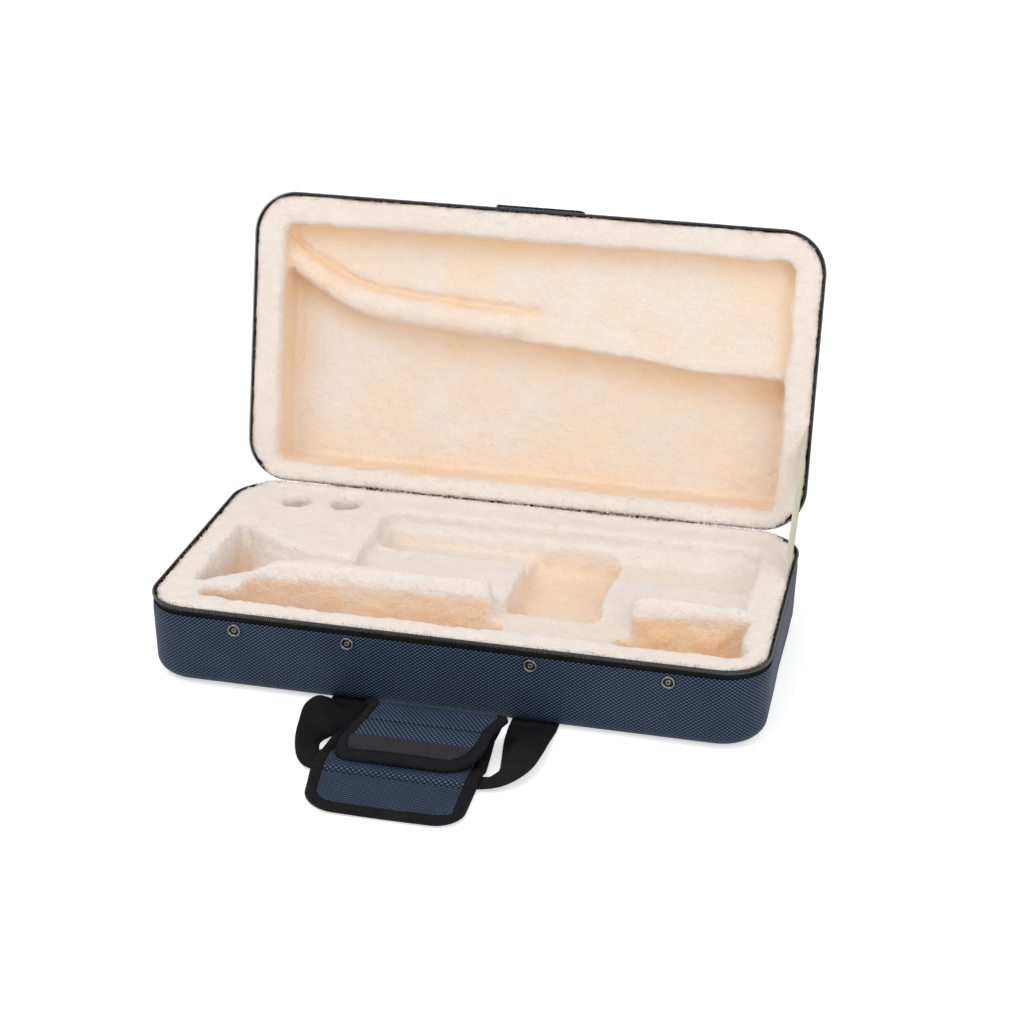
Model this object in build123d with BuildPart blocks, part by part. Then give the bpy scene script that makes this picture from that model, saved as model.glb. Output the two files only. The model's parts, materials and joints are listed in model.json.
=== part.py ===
from build123d import *

import os
from math import atan2, cos, degrees, radians, sin, tan

# A soft-shell trumpet case, standing on its base with the lid open and the handle lying in front.
# Millimetres. Origin: centre of the base's underside. +X along the case, -Y to the front, +Z up.

os.makedirs("parts", exist_ok=True)

# ---------------------------------------------------------------- driving dimensions
# Shell
case_length = 560.0
case_width = 288.0
base_height = 78.0  # floor to rim
lid_depth = 78.0  # rim to top
corner_radius = 42.0  # plan corners, at the rim
base_edge_radius = 14.0  # round between the walls and the floor
lid_edge_radius = 22.0  # round between the walls and the top
wall_draft = 2.0  # degrees, walls drawn in away from the rim
open_angle = 102.0  # from closed to where the stay straps stop the lid
rim_gap = 0.2  # each half stops this far from the plane of the hinge
cover_thickness = 1.5
lining_thickness = 4.0

# Zipper and fabric hinge
tape_thickness = 0.8
tape_shown = 9.0  # height of the band under the rim
tape_tail = 9.0  # how far the tape runs on, sewn behind the cover
coil_height = 4.6
coil_proud = 0.3  # teeth beyond the cover's outer face
hinge_clearance = 0.3
hinge_end_room = 92.0  # from the end of the case to the end of the fabric hinge
end_stop_gap = 1.0
end_stop_length = 3.0

# Front wall
board_thickness = 2.0  # stiffening board behind the front wall
board_height = 30.0
board_half_length = 226.0
board_clearance = 0.5
strap_width = 42.0  # webbing
strap_thickness = 2.2
rivet_places = (-191.0, -87.0, 77.0, 197.0)
rivet_depth = 17.0  # below the rim
rivet_cap_radius = 6.3
rivet_cap_height = 1.8
rivet_edge_round = 0.8
rivet_dish_radius = 4.3
rivet_dish_depth = 1.1
rivet_boss_radius = 2.3
rivet_boss_height = 0.8
rivet_eye_radius = 1.0
rivet_eye_depth = 1.2
rivet_shank_radius = 1.9
rivet_fit = 0.15
washer_radius = 5.0
washer_thickness = 1.0
anchor_clearance = 1.0

# Stay strap of the right side
stay_from_hinge = 83.5
stay_width = 24.0
stay_thickness = 1.2
stay_inset = 5.0  # from the end of the case to the strap
stay_tail = 24.0  # tucked in beside the lining at each end
stay_fit = 0.4

# Handle of the base: reach is the distance forward from its hinge line
handle_clearance = 4.3  # hinge line in front of the front wall
handle_floor_gap = 0.3
strap_clearance = 0.3
root_length = 44.0  # webbing end sewn in under the edge
root_fit = 0.2
handle_legs = (-83.0, 81.0)
loop_sides = (-101.0, 80.0)
loop_width = 20.0  # the webbing is drawn in round the loop
loop_shoulder = 42.0  # reach at which it is fully drawn in
loop_reach = 90.0
loop_radius = 24.0
loop_clearance = 0.3  # over the wrap's binding
loop_ramp = 28.0
loop_ramp_radius = 12.0

# Padded wrap that closes round the handle
grip_centre = -8.0
grip_width = 128.0
grip_thickness = 4.0
binding_width = 9.0
binding_thickness = 0.9
fold_reach = 41.7  # reach of the rear fold's centre
fold_radius = 12.5  # outside of the pad's fold
fold_fall = 8.0  # degrees, top of the wrap between fold and crease
crease_run = 20.0  # fold to crease
upper_flap_length = 40.0
upper_flap_fall = 13.0
lower_flap_reach = 113.7
lower_flap_length = 57.0
flap_corner = 17.0
flap_gap = 0.6
fastener_width = 19.0
fastener_thickness = 1.3

# Fastener patch on the lid's front wall
patch_length = 86.0
patch_width = 24.0
patch_thickness = 1.8
patch_from_rim = 5.5
patch_corner = 6.0
patch_border = 1.5

# Zipper sliders
slider_from_hinge = 12.0  # parked this far beyond the end of the fabric hinge
slider_length = 12.0
slider_height = 9.0
slider_thickness = 2.6
slider_corner = 2.0
slider_below_rim = 3.5
slider_clearance = 0.4
lug_thickness = 1.5
pin_radius = 1.0
pin_fit = 0.3
eye_wall = 1.2
pull_width = 7.0
pull_side_gap = 0.5
pull_length = 25.0
pull_thickness = 1.4
pull_hole_radius = 1.8

# Bed of the base: places from the origin, and floors above the underside
pocket_corner = 10.0
trough_left = -238.0
trough_right = 252.0
trough_front = -112.0
channel_back = -90.0
trough_floor = 22.0
wide_left = -206.0
wide_right = 32.0
wide_back = (-60.0, -49.0)  # at its left and right
end_bay_left = 134.0
end_bay_back = (-54.0, -37.0)
hand_gap_floor = 50.0
bell_axis_y = -19.0
bell_axis_depth = 2.0  # below the rim
bell_mouth_x = -250.0
bell_mouth_radius = 62.0
bell_lip_length = 10.0
bell_curve_x = -200.0
bell_curve_radius = 30.0
bell_throat_x = -126.0
bell_tube_radius = 14.0
bell_tube_right = 232.0
shelf_left = -120.0
shelf_right = 246.0
shelf_front = -26.0
shelf_back = 106.0
shelf_floor = 61.0
valve_left = 28.0
valve_right = 114.0
valve_front = -29.0
valve_step = 7.0
valve_floor = 32.0
slide_front = 58.0
slide_step = 5.0
slide_floor = 46.0
receiver_front = 44.0
receiver_floor = 51.0
mouthpiece_holes = ((-214.0, 106.0), (-166.0, 111.0))
mouthpiece_radius = 14.5
mouthpiece_taper = 4.5
mouthpiece_depth = 44.0

# Rolls on the bed's border, between the troughs and the instrument: left, right, front and back
roll_areas = ((-196.0, 22.0, (-57.0, -46.0), -34.0), (146.0, 244.0, (-49.0, -35.0), -28.0))
roll_height = 7.0
roll_corner = 3.0
roll_round = 3.0

# Bed of the lid: u is the distance from the hinge line, and depths run from the rim
recess_half_length = 249.0
recess_corner = 14.0
recess_near = 18.0
recess_far = 257.0
ridge_depth = 18.0
upper_floor_depth = 28.0
lower_floor_depth = 52.0
ridge_line = ((-249.0, 214.0), (-176.0, 173.0), (-40.0, 162.0), (115.0, 151.0), (249.0, 144.0))
ridge_roll = 26.0

# ---------------------------------------------------------------- worked out from them
slope = tan(radians(wall_draft))
hinge_y = case_width / 2 + coil_proud + hinge_clearance
lid_normal = Vector(0, 0, 1).rotate(Axis.X, -open_angle)
hinge_plane = Plane(origin=(0, hinge_y, base_height), x_dir=(1, 0, 0), z_dir=lid_normal)
lid_origin = hinge_plane.from_local_coords((0, -hinge_y, 0))
# Each half is drawn from its rim: local y points to the hinge, and z away from the opening.
base_rim = Plane(origin=(0, 0, base_height), x_dir=(-1, 0, 0), z_dir=(0, 0, -1))
lid_rim = Plane(origin=lid_origin, x_dir=(1, 0, 0), z_dir=lid_normal)

hinge_half_length = case_length / 2 - hinge_end_room
slider_park = hinge_half_length + slider_from_hinge
tape_half_gap = hinge_half_length + end_stop_gap + end_stop_length
rivet_grip = cover_thickness + tape_thickness + strap_thickness + board_thickness
handle_y = case_width / 2 + handle_clearance
handle_z = handle_floor_gap + strap_thickness / 2
wrap_lift = handle_floor_gap + binding_thickness  # underside of the pad above the floor
wrap_top = wrap_lift + grip_thickness + binding_thickness
wrap_half = grip_width / 2
fold_middle = fold_radius - grip_thickness / 2
loop_z = wrap_top + loop_clearance + strap_thickness / 2
handle_side = Plane(origin=(grip_centre, -handle_y, 0), x_dir=(0, -1, 0), z_dir=(-1, 0, 0))


def save(piece, name):
    """Labels a finished piece and writes it."""
    piece.part.label = name
    export_step(piece.part, f"parts/{name}.step")


def half_block(rim, inset, near, far, edge=0.0):
    """Solid within a half's walls, drawn in by inset, between two distances from its rim."""
    drawn_in = inset + near * slope
    with BuildPart() as block:
        with BuildSketch(rim.offset(near)):
            RectangleRounded(
                case_length - 2 * drawn_in, case_width - 2 * drawn_in, corner_radius - drawn_in
            )
        extrude(amount=far - near, taper=wall_draft)
        if edge > 0:
            far_edges = block.edges().group_by(Axis(rim.origin, rim.z_dir))[-1]
            fillet(far_edges, edge)
    return block.part


def rim_ring(rim, inset, thickness, far):
    """Band that follows the rim's outline, from the rim down to a depth."""
    outer = half_block(rim, inset, rim_gap, far)
    inner = half_block(rim, inset + thickness, rim_gap, far)
    with BuildPart() as ring:
        add(outer)
        add(inner, mode=Mode.SUBTRACT)
    return ring.part


def back_zone(rim, half_length):
    """Block over the middle of the back wall, where the fabric hinge takes the zipper's place."""
    with BuildPart() as zone:
        with BuildSketch(rim):
            with Locations((0, case_width / 2)):
                Rectangle(2 * half_length, 2 * corner_radius)
        extrude(amount=base_height)
    return zone.part


def front_wall(rim, depth, inset=0.0):
    """Plane of a front wall's outer face, or inset behind it, centred at a depth from the rim."""
    draft = radians(wall_draft)
    outward = rim.z_dir * sin(draft) - rim.y_dir * cos(draft)
    middle = rim.origin + rim.z_dir * depth - rim.y_dir * (case_width / 2 - depth * slope)
    return Plane(origin=middle - outward * inset, x_dir=(1, 0, 0), z_dir=outward)


def zipper_tape(rim):
    """Tape along the front and sides of the rim and round its back corners."""
    ring = rim_ring(rim, cover_thickness, tape_thickness, tape_shown + tape_tail)
    with BuildPart() as tape:
        add(ring)
        add(back_zone(rim, tape_half_gap), mode=Mode.SUBTRACT)
    return tape


def zipper_coil(rim):
    """Run of teeth on the tape's outer face, at the rim."""
    ring = rim_ring(rim, -coil_proud, cover_thickness + coil_proud, coil_height)
    with BuildPart() as coil:
        add(ring)
        add(back_zone(rim, tape_half_gap), mode=Mode.SUBTRACT)
    return coil


def zipper_end_stops(rim):
    """Clamps that close both ends of the teeth."""
    ring = rim_ring(rim, -coil_proud, cover_thickness + coil_proud, coil_height)
    with BuildPart() as stops:
        add(ring)
        add(back_zone(rim, tape_half_gap), mode=Mode.INTERSECT)
        add(back_zone(rim, tape_half_gap - end_stop_length), mode=Mode.SUBTRACT)
    return stops


def hinge_strip(rim):
    """One half's part of the fabric hinge, along the back of the rim."""
    ring = rim_ring(rim, 0.0, cover_thickness, tape_shown)
    with BuildPart() as strip:
        add(ring)
        add(back_zone(rim, hinge_half_length), mode=Mode.INTERSECT)
    return strip


def stay_strap(fit=0.0):
    """Flat strap from beside the base's lining to beside the lid's, taut with the lid open."""
    lid_point = hinge_plane.from_local_coords((0, -stay_from_hinge, 0))
    base_point = Vector(0, hinge_y - stay_from_hinge, base_height)
    run = lid_point - base_point
    middle = (lid_point + base_point) / 2
    thickness = stay_thickness + 2 * fit
    centre_x = case_length / 2 - stay_inset - stay_thickness / 2
    side_plane = Plane(origin=(centre_x, 0, 0), x_dir=(0, 1, 0), z_dir=(1, 0, 0))
    with BuildPart() as strap:
        with BuildSketch(side_plane):
            with Locations(Location((middle.Y, middle.Z), degrees(atan2(run.Z, run.Y)))):
                Rectangle(run.length + 2 * stay_tail + 2 * fit, stay_width + 2 * fit)
        extrude(amount=thickness / 2, both=True)
    return strap


# ---------------------------------------------------------------- pockets of the two beds
def corners(left, right, front, back):
    """Corners of an area. A front or back given as a pair slants from left to right."""
    front_left, front_right = front if isinstance(front, tuple) else (front, front)
    back_left, back_right = back if isinstance(back, tuple) else (back, back)
    return [(left, front_left), (right, front_right), (right, back_right), (left, back_left)]


def pocket(floor, areas, grow):
    """Pocket from the rim down to a floor, over areas given as left, right, front and back."""
    with BuildPart() as space:
        with BuildSketch(Plane.XY.offset(floor - grow)) as plan:
            for area in areas:
                with BuildLine():
                    Polyline(*corners(*area), close=True)
                make_face()
            fillet(plan.vertices(), pocket_corner)
            offset(amount=grow)
        extrude(amount=base_height - floor + grow)
    return space.part


def bell_pocket(grow):
    """Space for a flared bell and its tube, turned about the bell's axis."""
    axis_z = base_height - bell_axis_depth
    left = bell_mouth_x - grow
    right = bell_tube_right + grow
    lip = (bell_mouth_x + bell_lip_length + grow, bell_mouth_radius + grow)
    throat = (bell_throat_x, bell_tube_radius + grow)
    with BuildPart() as space:
        with BuildSketch(Plane(origin=(0, bell_axis_y, axis_z), x_dir=(1, 0, 0), z_dir=(0, 1, 0))):
            with BuildLine():
                Polyline((right, 0), (left, 0), (left, lip[1]), lip)
                ThreePointArc(lip, (bell_curve_x + grow, bell_curve_radius + grow), throat)
                Polyline(throat, (right, throat[1]), (right, 0))
            make_face()
        revolve(axis=Axis((0, bell_axis_y, axis_z), (1, 0, 0)))
    return space.part


def mouthpiece_pockets(grow):
    """Two tapered holes that hold mouthpieces upright."""
    with BuildPart() as space:
        with BuildSketch(Plane(origin=(0, 0, base_height), x_dir=(1, 0, 0), z_dir=(0, 0, -1))):
            with Locations(*[(x, -y) for x, y in mouthpiece_holes]):
                Circle(mouthpiece_radius + grow)
        extrude(amount=mouthpiece_depth + grow, taper=mouthpiece_taper)
    return space.part


def base_bed(grow):
    """All the pockets of the base's bed."""
    channel = (trough_left, trough_right, trough_front, channel_back)
    wide_bay = (wide_left, wide_right, trough_front, wide_back)
    end_bay = (end_bay_left, trough_right, trough_front, end_bay_back)
    hand_gap = (
        wide_right - pocket_corner - lining_thickness,
        end_bay_left + pocket_corner + lining_thickness,
        (trough_front + channel_back) / 2,
        bell_axis_y,
    )
    shelf = (shelf_left, shelf_right, shelf_front, shelf_back)
    valve_bay = (valve_left, valve_right, valve_front, shelf_back - valve_step)
    slide_bay = (shelf_left + slide_step, valve_left + valve_step, slide_front, shelf_back - slide_step)
    receiver_bay = (
        valve_right - valve_step, shelf_right - slide_step, receiver_front, shelf_back - slide_step
    )
    return [
        pocket(trough_floor, (channel, wide_bay, end_bay), grow),
        pocket(hand_gap_floor, (hand_gap,), grow),
        pocket(shelf_floor, (shelf,), grow),
        pocket(valve_floor, (valve_bay,), grow),
        pocket(slide_floor, (slide_bay,), grow),
        pocket(receiver_floor, (receiver_bay,), grow),
        bell_pocket(grow),
        mouthpiece_pockets(grow),
    ]


def lid_pocket(grow, depth, ridge_side=None):
    """The lid's recess down to a depth: all of it, or what lies above or below its ridge."""
    low = hinge_y - recess_far - grow
    high = hinge_y - recess_near + grow
    half = recess_half_length + grow
    with BuildPart() as space:
        with BuildSketch(lid_rim):
            with Locations((0, (low + high) / 2)):
                RectangleRounded(2 * half, high - low, recess_corner + grow)
            if ridge_side is not None:
                shift = ridge_roll - grow if ridge_side == "above" else grow
                far_y = low if ridge_side == "above" else high
                ridge = [(x, hinge_y - u - shift) for x, u in ridge_line]
                outside = recess_half_length + recess_corner
                with BuildLine():
                    Spline(*ridge)
                    Polyline(
                        ridge[-1], (outside, ridge[-1][1]), (outside, far_y),
                        (-outside, far_y), (-outside, ridge[0][1]), ridge[0],
                    )
                make_face(mode=Mode.INTERSECT)
        extrude(amount=depth + grow)
    return space.part


def lid_bed(grow):
    """The pockets of the lid's bed: shallow over the ridge's roll, deeper on each side."""
    return [
        lid_pocket(grow, ridge_depth),
        lid_pocket(grow, upper_floor_depth, "above"),
        lid_pocket(grow, lower_floor_depth, "below"),
    ]


def lined_space(rim, pockets, with_border=True):
    """A bed's pockets as one solid, with the layer that lines its border where that is wanted."""
    with BuildPart() as space:
        if with_border:
            with BuildSketch(rim):
                Rectangle(2 * case_length, 2 * case_width)
            extrude(amount=rim_gap + lining_thickness)
        add(pockets)
    return space.part


# ================================================================ shell of both halves
base_outer = half_block(base_rim, 0, tape_shown, base_height, base_edge_radius)
base_inner = half_block(
    base_rim, cover_thickness, rim_gap, base_height - cover_thickness,
    base_edge_radius - cover_thickness,
)
lid_outer = half_block(lid_rim, 0, tape_shown, lid_depth, lid_edge_radius)
lid_inner = half_block(
    lid_rim, cover_thickness, rim_gap, lid_depth - cover_thickness,
    lid_edge_radius - cover_thickness,
)
stay_room = stay_strap(stay_fit).part

# ---------------------------------------------------------------- rivets of the front wall
rivet_face = front_wall(base_rim, rivet_depth)
rivet_spots = [(x, 0) for x in rivet_places]

with BuildPart() as rivet_caps:
    with BuildSketch(rivet_face):
        with Locations(*rivet_spots):
            Circle(rivet_cap_radius)
    extrude(amount=rivet_cap_height)
    fillet(
        rivet_caps.edges().group_by(Axis(rivet_face.origin, rivet_face.z_dir))[-1],
        rivet_edge_round,
    )
    with BuildSketch(rivet_face.offset(rivet_cap_height)):
        with Locations(*rivet_spots):
            Circle(rivet_dish_radius)
    extrude(amount=-rivet_dish_depth, mode=Mode.SUBTRACT)
    with BuildSketch(rivet_face.offset(rivet_cap_height - rivet_dish_depth)):
        with Locations(*rivet_spots):
            Circle(rivet_boss_radius)
    extrude(amount=rivet_boss_height)
    with BuildSketch(rivet_face.offset(rivet_cap_height)):
        with Locations(*rivet_spots):
            Circle(rivet_eye_radius)
    extrude(amount=-rivet_eye_depth, mode=Mode.SUBTRACT)

with BuildPart() as rivet_shanks:
    with BuildSketch(rivet_face):
        with Locations(*rivet_spots):
            Circle(rivet_shank_radius)
    extrude(amount=-rivet_grip - washer_thickness)
    with BuildSketch(rivet_face.offset(-rivet_grip)):
        with Locations(*rivet_spots):
            Circle(washer_radius)
    extrude(amount=-washer_thickness)

with BuildPart() as rivet_bores:
    with BuildSketch(rivet_face.offset(rivet_cap_height)):
        with Locations(*rivet_spots):
            Circle(rivet_shank_radius + rivet_fit)
    extrude(amount=-rivet_cap_height - rivet_grip - washer_thickness - rivet_fit)

with BuildPart() as washer_rooms:
    with BuildSketch(rivet_face.offset(-rivet_grip)):
        with Locations(*rivet_spots):
            Circle(washer_radius + rivet_fit)
    extrude(amount=-washer_thickness - rivet_fit)

# ---------------------------------------------------------------- behind the front wall
anchor_top = rivet_depth - washer_radius - anchor_clearance
anchor_bottom = base_height - base_edge_radius - anchor_clearance

with BuildPart() as base_anchor_straps:
    anchor_middle = (anchor_top + anchor_bottom) / 2
    with BuildSketch(front_wall(base_rim, anchor_middle, cover_thickness + tape_thickness)):
        with Locations(*[(x, 0) for x in handle_legs]):
            Rectangle(strap_width, anchor_bottom - anchor_top)
    extrude(amount=-strap_thickness)
    add(rivet_bores.part, mode=Mode.SUBTRACT)

with BuildPart() as base_front_board:
    board_middle = rim_gap + lining_thickness + board_clearance + board_height / 2
    with BuildSketch(front_wall(base_rim, board_middle, rivet_grip - board_thickness)):
        Rectangle(2 * board_half_length, board_height)
    extrude(amount=-board_thickness)
    add(rivet_bores.part, mode=Mode.SUBTRACT)

# ---------------------------------------------------------------- roots of the handle
root_front = handle_y - strap_thickness / 2 - strap_clearance

with BuildPart() as base_handle_roots:
    with BuildSketch(Plane.XY.offset(handle_floor_gap)):
        with Locations(*[(x, root_length / 2 - root_front) for x in handle_legs]):
            Rectangle(strap_width, root_length)
    extrude(amount=strap_thickness)

with BuildPart() as root_slots:
    with BuildSketch(Plane.XY):
        with Locations(*[(x, root_length / 2 - root_front) for x in handle_legs]):
            Rectangle(strap_width + 2 * root_fit, root_length + 2 * root_fit)
    extrude(amount=handle_floor_gap + strap_thickness)

# ---------------------------------------------------------------- base
base_zipper_tape = zipper_tape(base_rim)
with BuildPart() as base_tape:
    add(base_zipper_tape.part)
    add(rivet_bores.part, mode=Mode.SUBTRACT)

with BuildPart() as base_cover:
    add(base_outer)
    add(base_inner, mode=Mode.SUBTRACT)
    add(rivet_bores.part, mode=Mode.SUBTRACT)
    add(root_slots.part, mode=Mode.SUBTRACT)

base_lined = lined_space(base_rim, base_bed(lining_thickness))
base_bare = lined_space(base_rim, base_bed(0.0), False)

with BuildPart() as base_foam_core:
    add(base_inner)
    add(base_lined, mode=Mode.SUBTRACT)
    add(base_zipper_tape.part, mode=Mode.SUBTRACT)
    add(base_anchor_straps.part, mode=Mode.SUBTRACT)
    add(base_front_board.part, mode=Mode.SUBTRACT)
    add(root_slots.part, mode=Mode.SUBTRACT)
    add(rivet_bores.part, mode=Mode.SUBTRACT)
    add(washer_rooms.part, mode=Mode.SUBTRACT)
    add(stay_room, mode=Mode.SUBTRACT)

with BuildPart() as base_lining:
    add(base_inner)
    add(base_lined, mode=Mode.INTERSECT)
    add(base_bare, mode=Mode.SUBTRACT)
    add(base_zipper_tape.part, mode=Mode.SUBTRACT)
    add(stay_room, mode=Mode.SUBTRACT)

with BuildPart() as base_rolls:
    with BuildSketch(Plane.XY.offset(base_height - rim_gap)) as roll_plan:
        for area in roll_areas:
            with BuildLine():
                Polyline(*corners(*area), close=True)
            make_face()
        fillet(roll_plan.vertices(), roll_corner)
    extrude(amount=roll_height)
    fillet(base_rolls.edges().group_by(Axis.Z)[-1], roll_round)
    add(bell_pocket(0.0), mode=Mode.SUBTRACT)

save(base_cover, "base_cover")
save(base_foam_core, "base_foam_core")
save(base_lining, "base_lining")
save(base_tape, "base_zipper_tape")
save(zipper_coil(base_rim), "base_zipper_teeth")
save(zipper_end_stops(base_rim), "base_zipper_stops")
save(hinge_strip(base_rim), "base_hinge_strip")
save(base_front_board, "base_front_board")
save(base_anchor_straps, "base_anchor_straps")
save(base_handle_roots, "base_handle_roots")
save(rivet_caps, "rivet_caps")
save(rivet_shanks, "rivet_shanks")
save(base_rolls, "base_ridge_rolls")
save(stay_strap(), "stay_strap_right")

# ---------------------------------------------------------------- lid
lid_zipper_tape = zipper_tape(lid_rim)

with BuildPart() as lid_cover:
    add(lid_outer)
    add(lid_inner, mode=Mode.SUBTRACT)

lid_lined = lined_space(lid_rim, lid_bed(lining_thickness))
lid_bare = lined_space(lid_rim, lid_bed(0.0), False)

with BuildPart() as lid_foam_core:
    add(lid_inner)
    add(lid_lined, mode=Mode.SUBTRACT)
    add(lid_zipper_tape.part, mode=Mode.SUBTRACT)
    add(stay_room, mode=Mode.SUBTRACT)

with BuildPart() as lid_lining:
    add(lid_inner)
    add(lid_lined, mode=Mode.INTERSECT)
    add(lid_bare, mode=Mode.SUBTRACT)
    add(lid_zipper_tape.part, mode=Mode.SUBTRACT)
    add(stay_room, mode=Mode.SUBTRACT)

patch_face = front_wall(lid_rim, patch_from_rim + tape_shown + patch_width / 2)

with BuildPart() as lid_fastener_patch:
    with BuildSketch(patch_face):
        RectangleRounded(patch_length, patch_width, patch_corner)
    extrude(amount=patch_thickness)

with BuildPart() as lid_fastener_strip:
    with BuildSketch(patch_face.offset(patch_thickness)):
        RectangleRounded(
            patch_length - 2 * patch_border, patch_width - 2 * patch_border,
            patch_corner - patch_border,
        )
    extrude(amount=fastener_thickness)

save(lid_cover, "lid_cover")
save(lid_foam_core, "lid_foam_core")
save(lid_lining, "lid_lining")
save(lid_zipper_tape, "lid_zipper_tape")
save(zipper_coil(lid_rim), "lid_zipper_teeth")
save(zipper_end_stops(lid_rim), "lid_zipper_stops")
save(hinge_strip(lid_rim), "lid_hinge_strip")
save(lid_fastener_patch, "lid_fastener_patch")
save(lid_fastener_strip, "lid_fastener_strip")

# ================================================================ handle of the base
with BuildPart() as handle_webbing:
    with BuildSketch(Plane.XY):
        for leg, side in zip(handle_legs, loop_sides):
            with BuildLine():
                Polyline(
                    (leg - strap_width / 2, -handle_y + strap_thickness / 2),
                    (leg + strap_width / 2, -handle_y + strap_thickness / 2),
                    (side + loop_width / 2, -handle_y - loop_shoulder),
                    (side - loop_width / 2, -handle_y - loop_shoulder),
                    close=True,
                )
            make_face()
        with BuildLine() as loop:
            FilletPolyline(
                (loop_sides[0], -handle_y - loop_shoulder),
                (loop_sides[0], -handle_y - loop_reach),
                (loop_sides[1], -handle_y - loop_reach),
                (loop_sides[1], -handle_y - loop_shoulder),
                radius=loop_radius,
            )
        trace(loop.line, line_width=loop_width)
    extrude(amount=2 * loop_z)
    with BuildSketch(handle_side):
        with BuildLine() as ramp:
            FilletPolyline(
                (0, handle_z),
                (loop_ramp, loop_z),
                (loop_reach + loop_width, loop_z),
                radius=loop_ramp_radius,
            )
        trace(ramp.line, line_width=strap_thickness)
        with Locations((0, handle_z)):
            Circle(strap_thickness / 2)
    extrude(amount=case_width, both=True, mode=Mode.INTERSECT)

save(handle_webbing, "handle_webbing")


# ---------------------------------------------------------------- padded wrap
def wrap_section(thickness):
    """Section of the wrap's folded middle, as a band about the pad's centre line."""
    middle_z = wrap_lift + grip_thickness / 2
    with BuildSketch(Plane.XY) as section:
        with BuildLine() as path:
            flat = Line((lower_flap_reach - flap_gap / 2, middle_z), (fold_reach, middle_z))
            fold = CenterArc(
                (fold_reach, middle_z + fold_middle), fold_middle, -90, -180 - fold_fall
            )
            PolarLine(fold @ 1, crease_run - flap_gap / 2, -fold_fall)
        trace(path.line, line_width=thickness)
    return section.sketch


def wrap_slice(thickness, left, right):
    """Part of the folded middle between two distances from the wrap's own middle."""
    section = wrap_section(thickness)
    with BuildPart() as piece:
        with BuildSketch(handle_side.offset(-right)):
            add(section)
        extrude(amount=right - left)
    return piece.part


with BuildPart() as wrap_pad:
    add(wrap_slice(grip_thickness, -wrap_half, wrap_half))

wrap_bindings = {}
for side_name, left, right in (
    ("left", -wrap_half - binding_thickness, -wrap_half + binding_width),
    ("right", wrap_half - binding_width, wrap_half + binding_thickness),
):
    with BuildPart() as binding:
        add(wrap_slice(grip_thickness + 2 * binding_thickness, left, right))
        add(wrap_pad.part, mode=Mode.SUBTRACT)
    wrap_bindings[side_name] = binding

save(wrap_pad, "wrap_pad")
save(wrap_bindings["left"], "wrap_binding_left")
save(wrap_bindings["right"], "wrap_binding_right")


def flap_outline(length, grow):
    """Outline of a flap from its crease to its free edge, grown by grow on three sides."""
    with BuildSketch(Plane.XY) as outline:
        with Locations((0, -flap_gap / 2)):
            Rectangle(
                grip_width + 2 * grow, length + grow - flap_gap / 2,
                align=(Align.CENTER, Align.MAX),
            )
        fillet(outline.vertices().group_by(Axis.Y)[0], flap_corner + grow)
    return outline.sketch


def flap(crease, length):
    """Pad and binding of a flap. The crease's plane is level with the binding's top."""
    inside = flap_outline(length, 0.0)
    around = flap_outline(length, binding_thickness)
    window = flap_outline(length, -binding_width)
    bound_thickness = grip_thickness + 2 * binding_thickness
    with BuildPart() as pad:
        with BuildSketch(crease.offset(-binding_thickness)):
            add(inside)
        extrude(amount=-grip_thickness)
    with BuildPart() as binding:
        with BuildSketch(crease):
            add(around)
            add(window, mode=Mode.SUBTRACT)
        extrude(amount=-bound_thickness)
        add(pad.part, mode=Mode.SUBTRACT)
    return pad, binding


# The creases' hinge lines run along the top of the binding, so that the flaps fold open freely.
fall = radians(fold_fall)
half_bound = grip_thickness / 2 + binding_thickness
fold_z = wrap_lift + grip_thickness / 2 + fold_middle
crease_reach = fold_reach + (fold_middle + half_bound) * sin(fall) + crease_run * cos(fall)
crease_z = fold_z + (fold_middle + half_bound) * cos(fall) - crease_run * sin(fall)
flap_normal = Vector(0, 0, 1).rotate(Axis.X, upper_flap_fall)
upper_crease = Plane(
    origin=(grip_centre, -handle_y - crease_reach, crease_z), x_dir=(1, 0, 0), z_dir=flap_normal
)
lower_crease = Plane(
    origin=(grip_centre, -handle_y - lower_flap_reach, wrap_top), x_dir=(1, 0, 0), z_dir=(0, 0, 1)
)
upper_flap_pad, upper_flap_binding = flap(upper_crease, upper_flap_length)
lower_flap_pad, lower_flap_binding = flap(lower_crease, lower_flap_length)

with BuildPart() as upper_flap_fastener:
    with BuildSketch(upper_crease.offset(-binding_thickness)):
        with Locations((0, binding_width - upper_flap_length)):
            Rectangle(
                grip_width - 2 * flap_corner, fastener_width, align=(Align.CENTER, Align.MIN)
            )
    extrude(amount=fastener_thickness)

save(upper_flap_pad, "upper_flap_pad")
save(upper_flap_binding, "upper_flap_binding")
save(upper_flap_fastener, "upper_flap_fastener")
save(lower_flap_pad, "lower_flap_pad")
save(lower_flap_binding, "lower_flap_binding")

# ================================================================ zipper sliders
eye_radius = pin_radius + pin_fit + eye_wall
lug_inner = pull_width / 2 + pull_side_gap
slider_back = case_width / 2 + coil_proud + slider_clearance
pin_y = slider_back + slider_thickness + eye_radius + pin_fit
slider_z = base_height - slider_below_rim - slider_height / 2
slider_face = Plane(origin=(0, slider_back, slider_z), x_dir=(-1, 0, 0), z_dir=(0, 1, 0))
tab_top = pin_radius + pin_fit + eye_wall / 2

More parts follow.
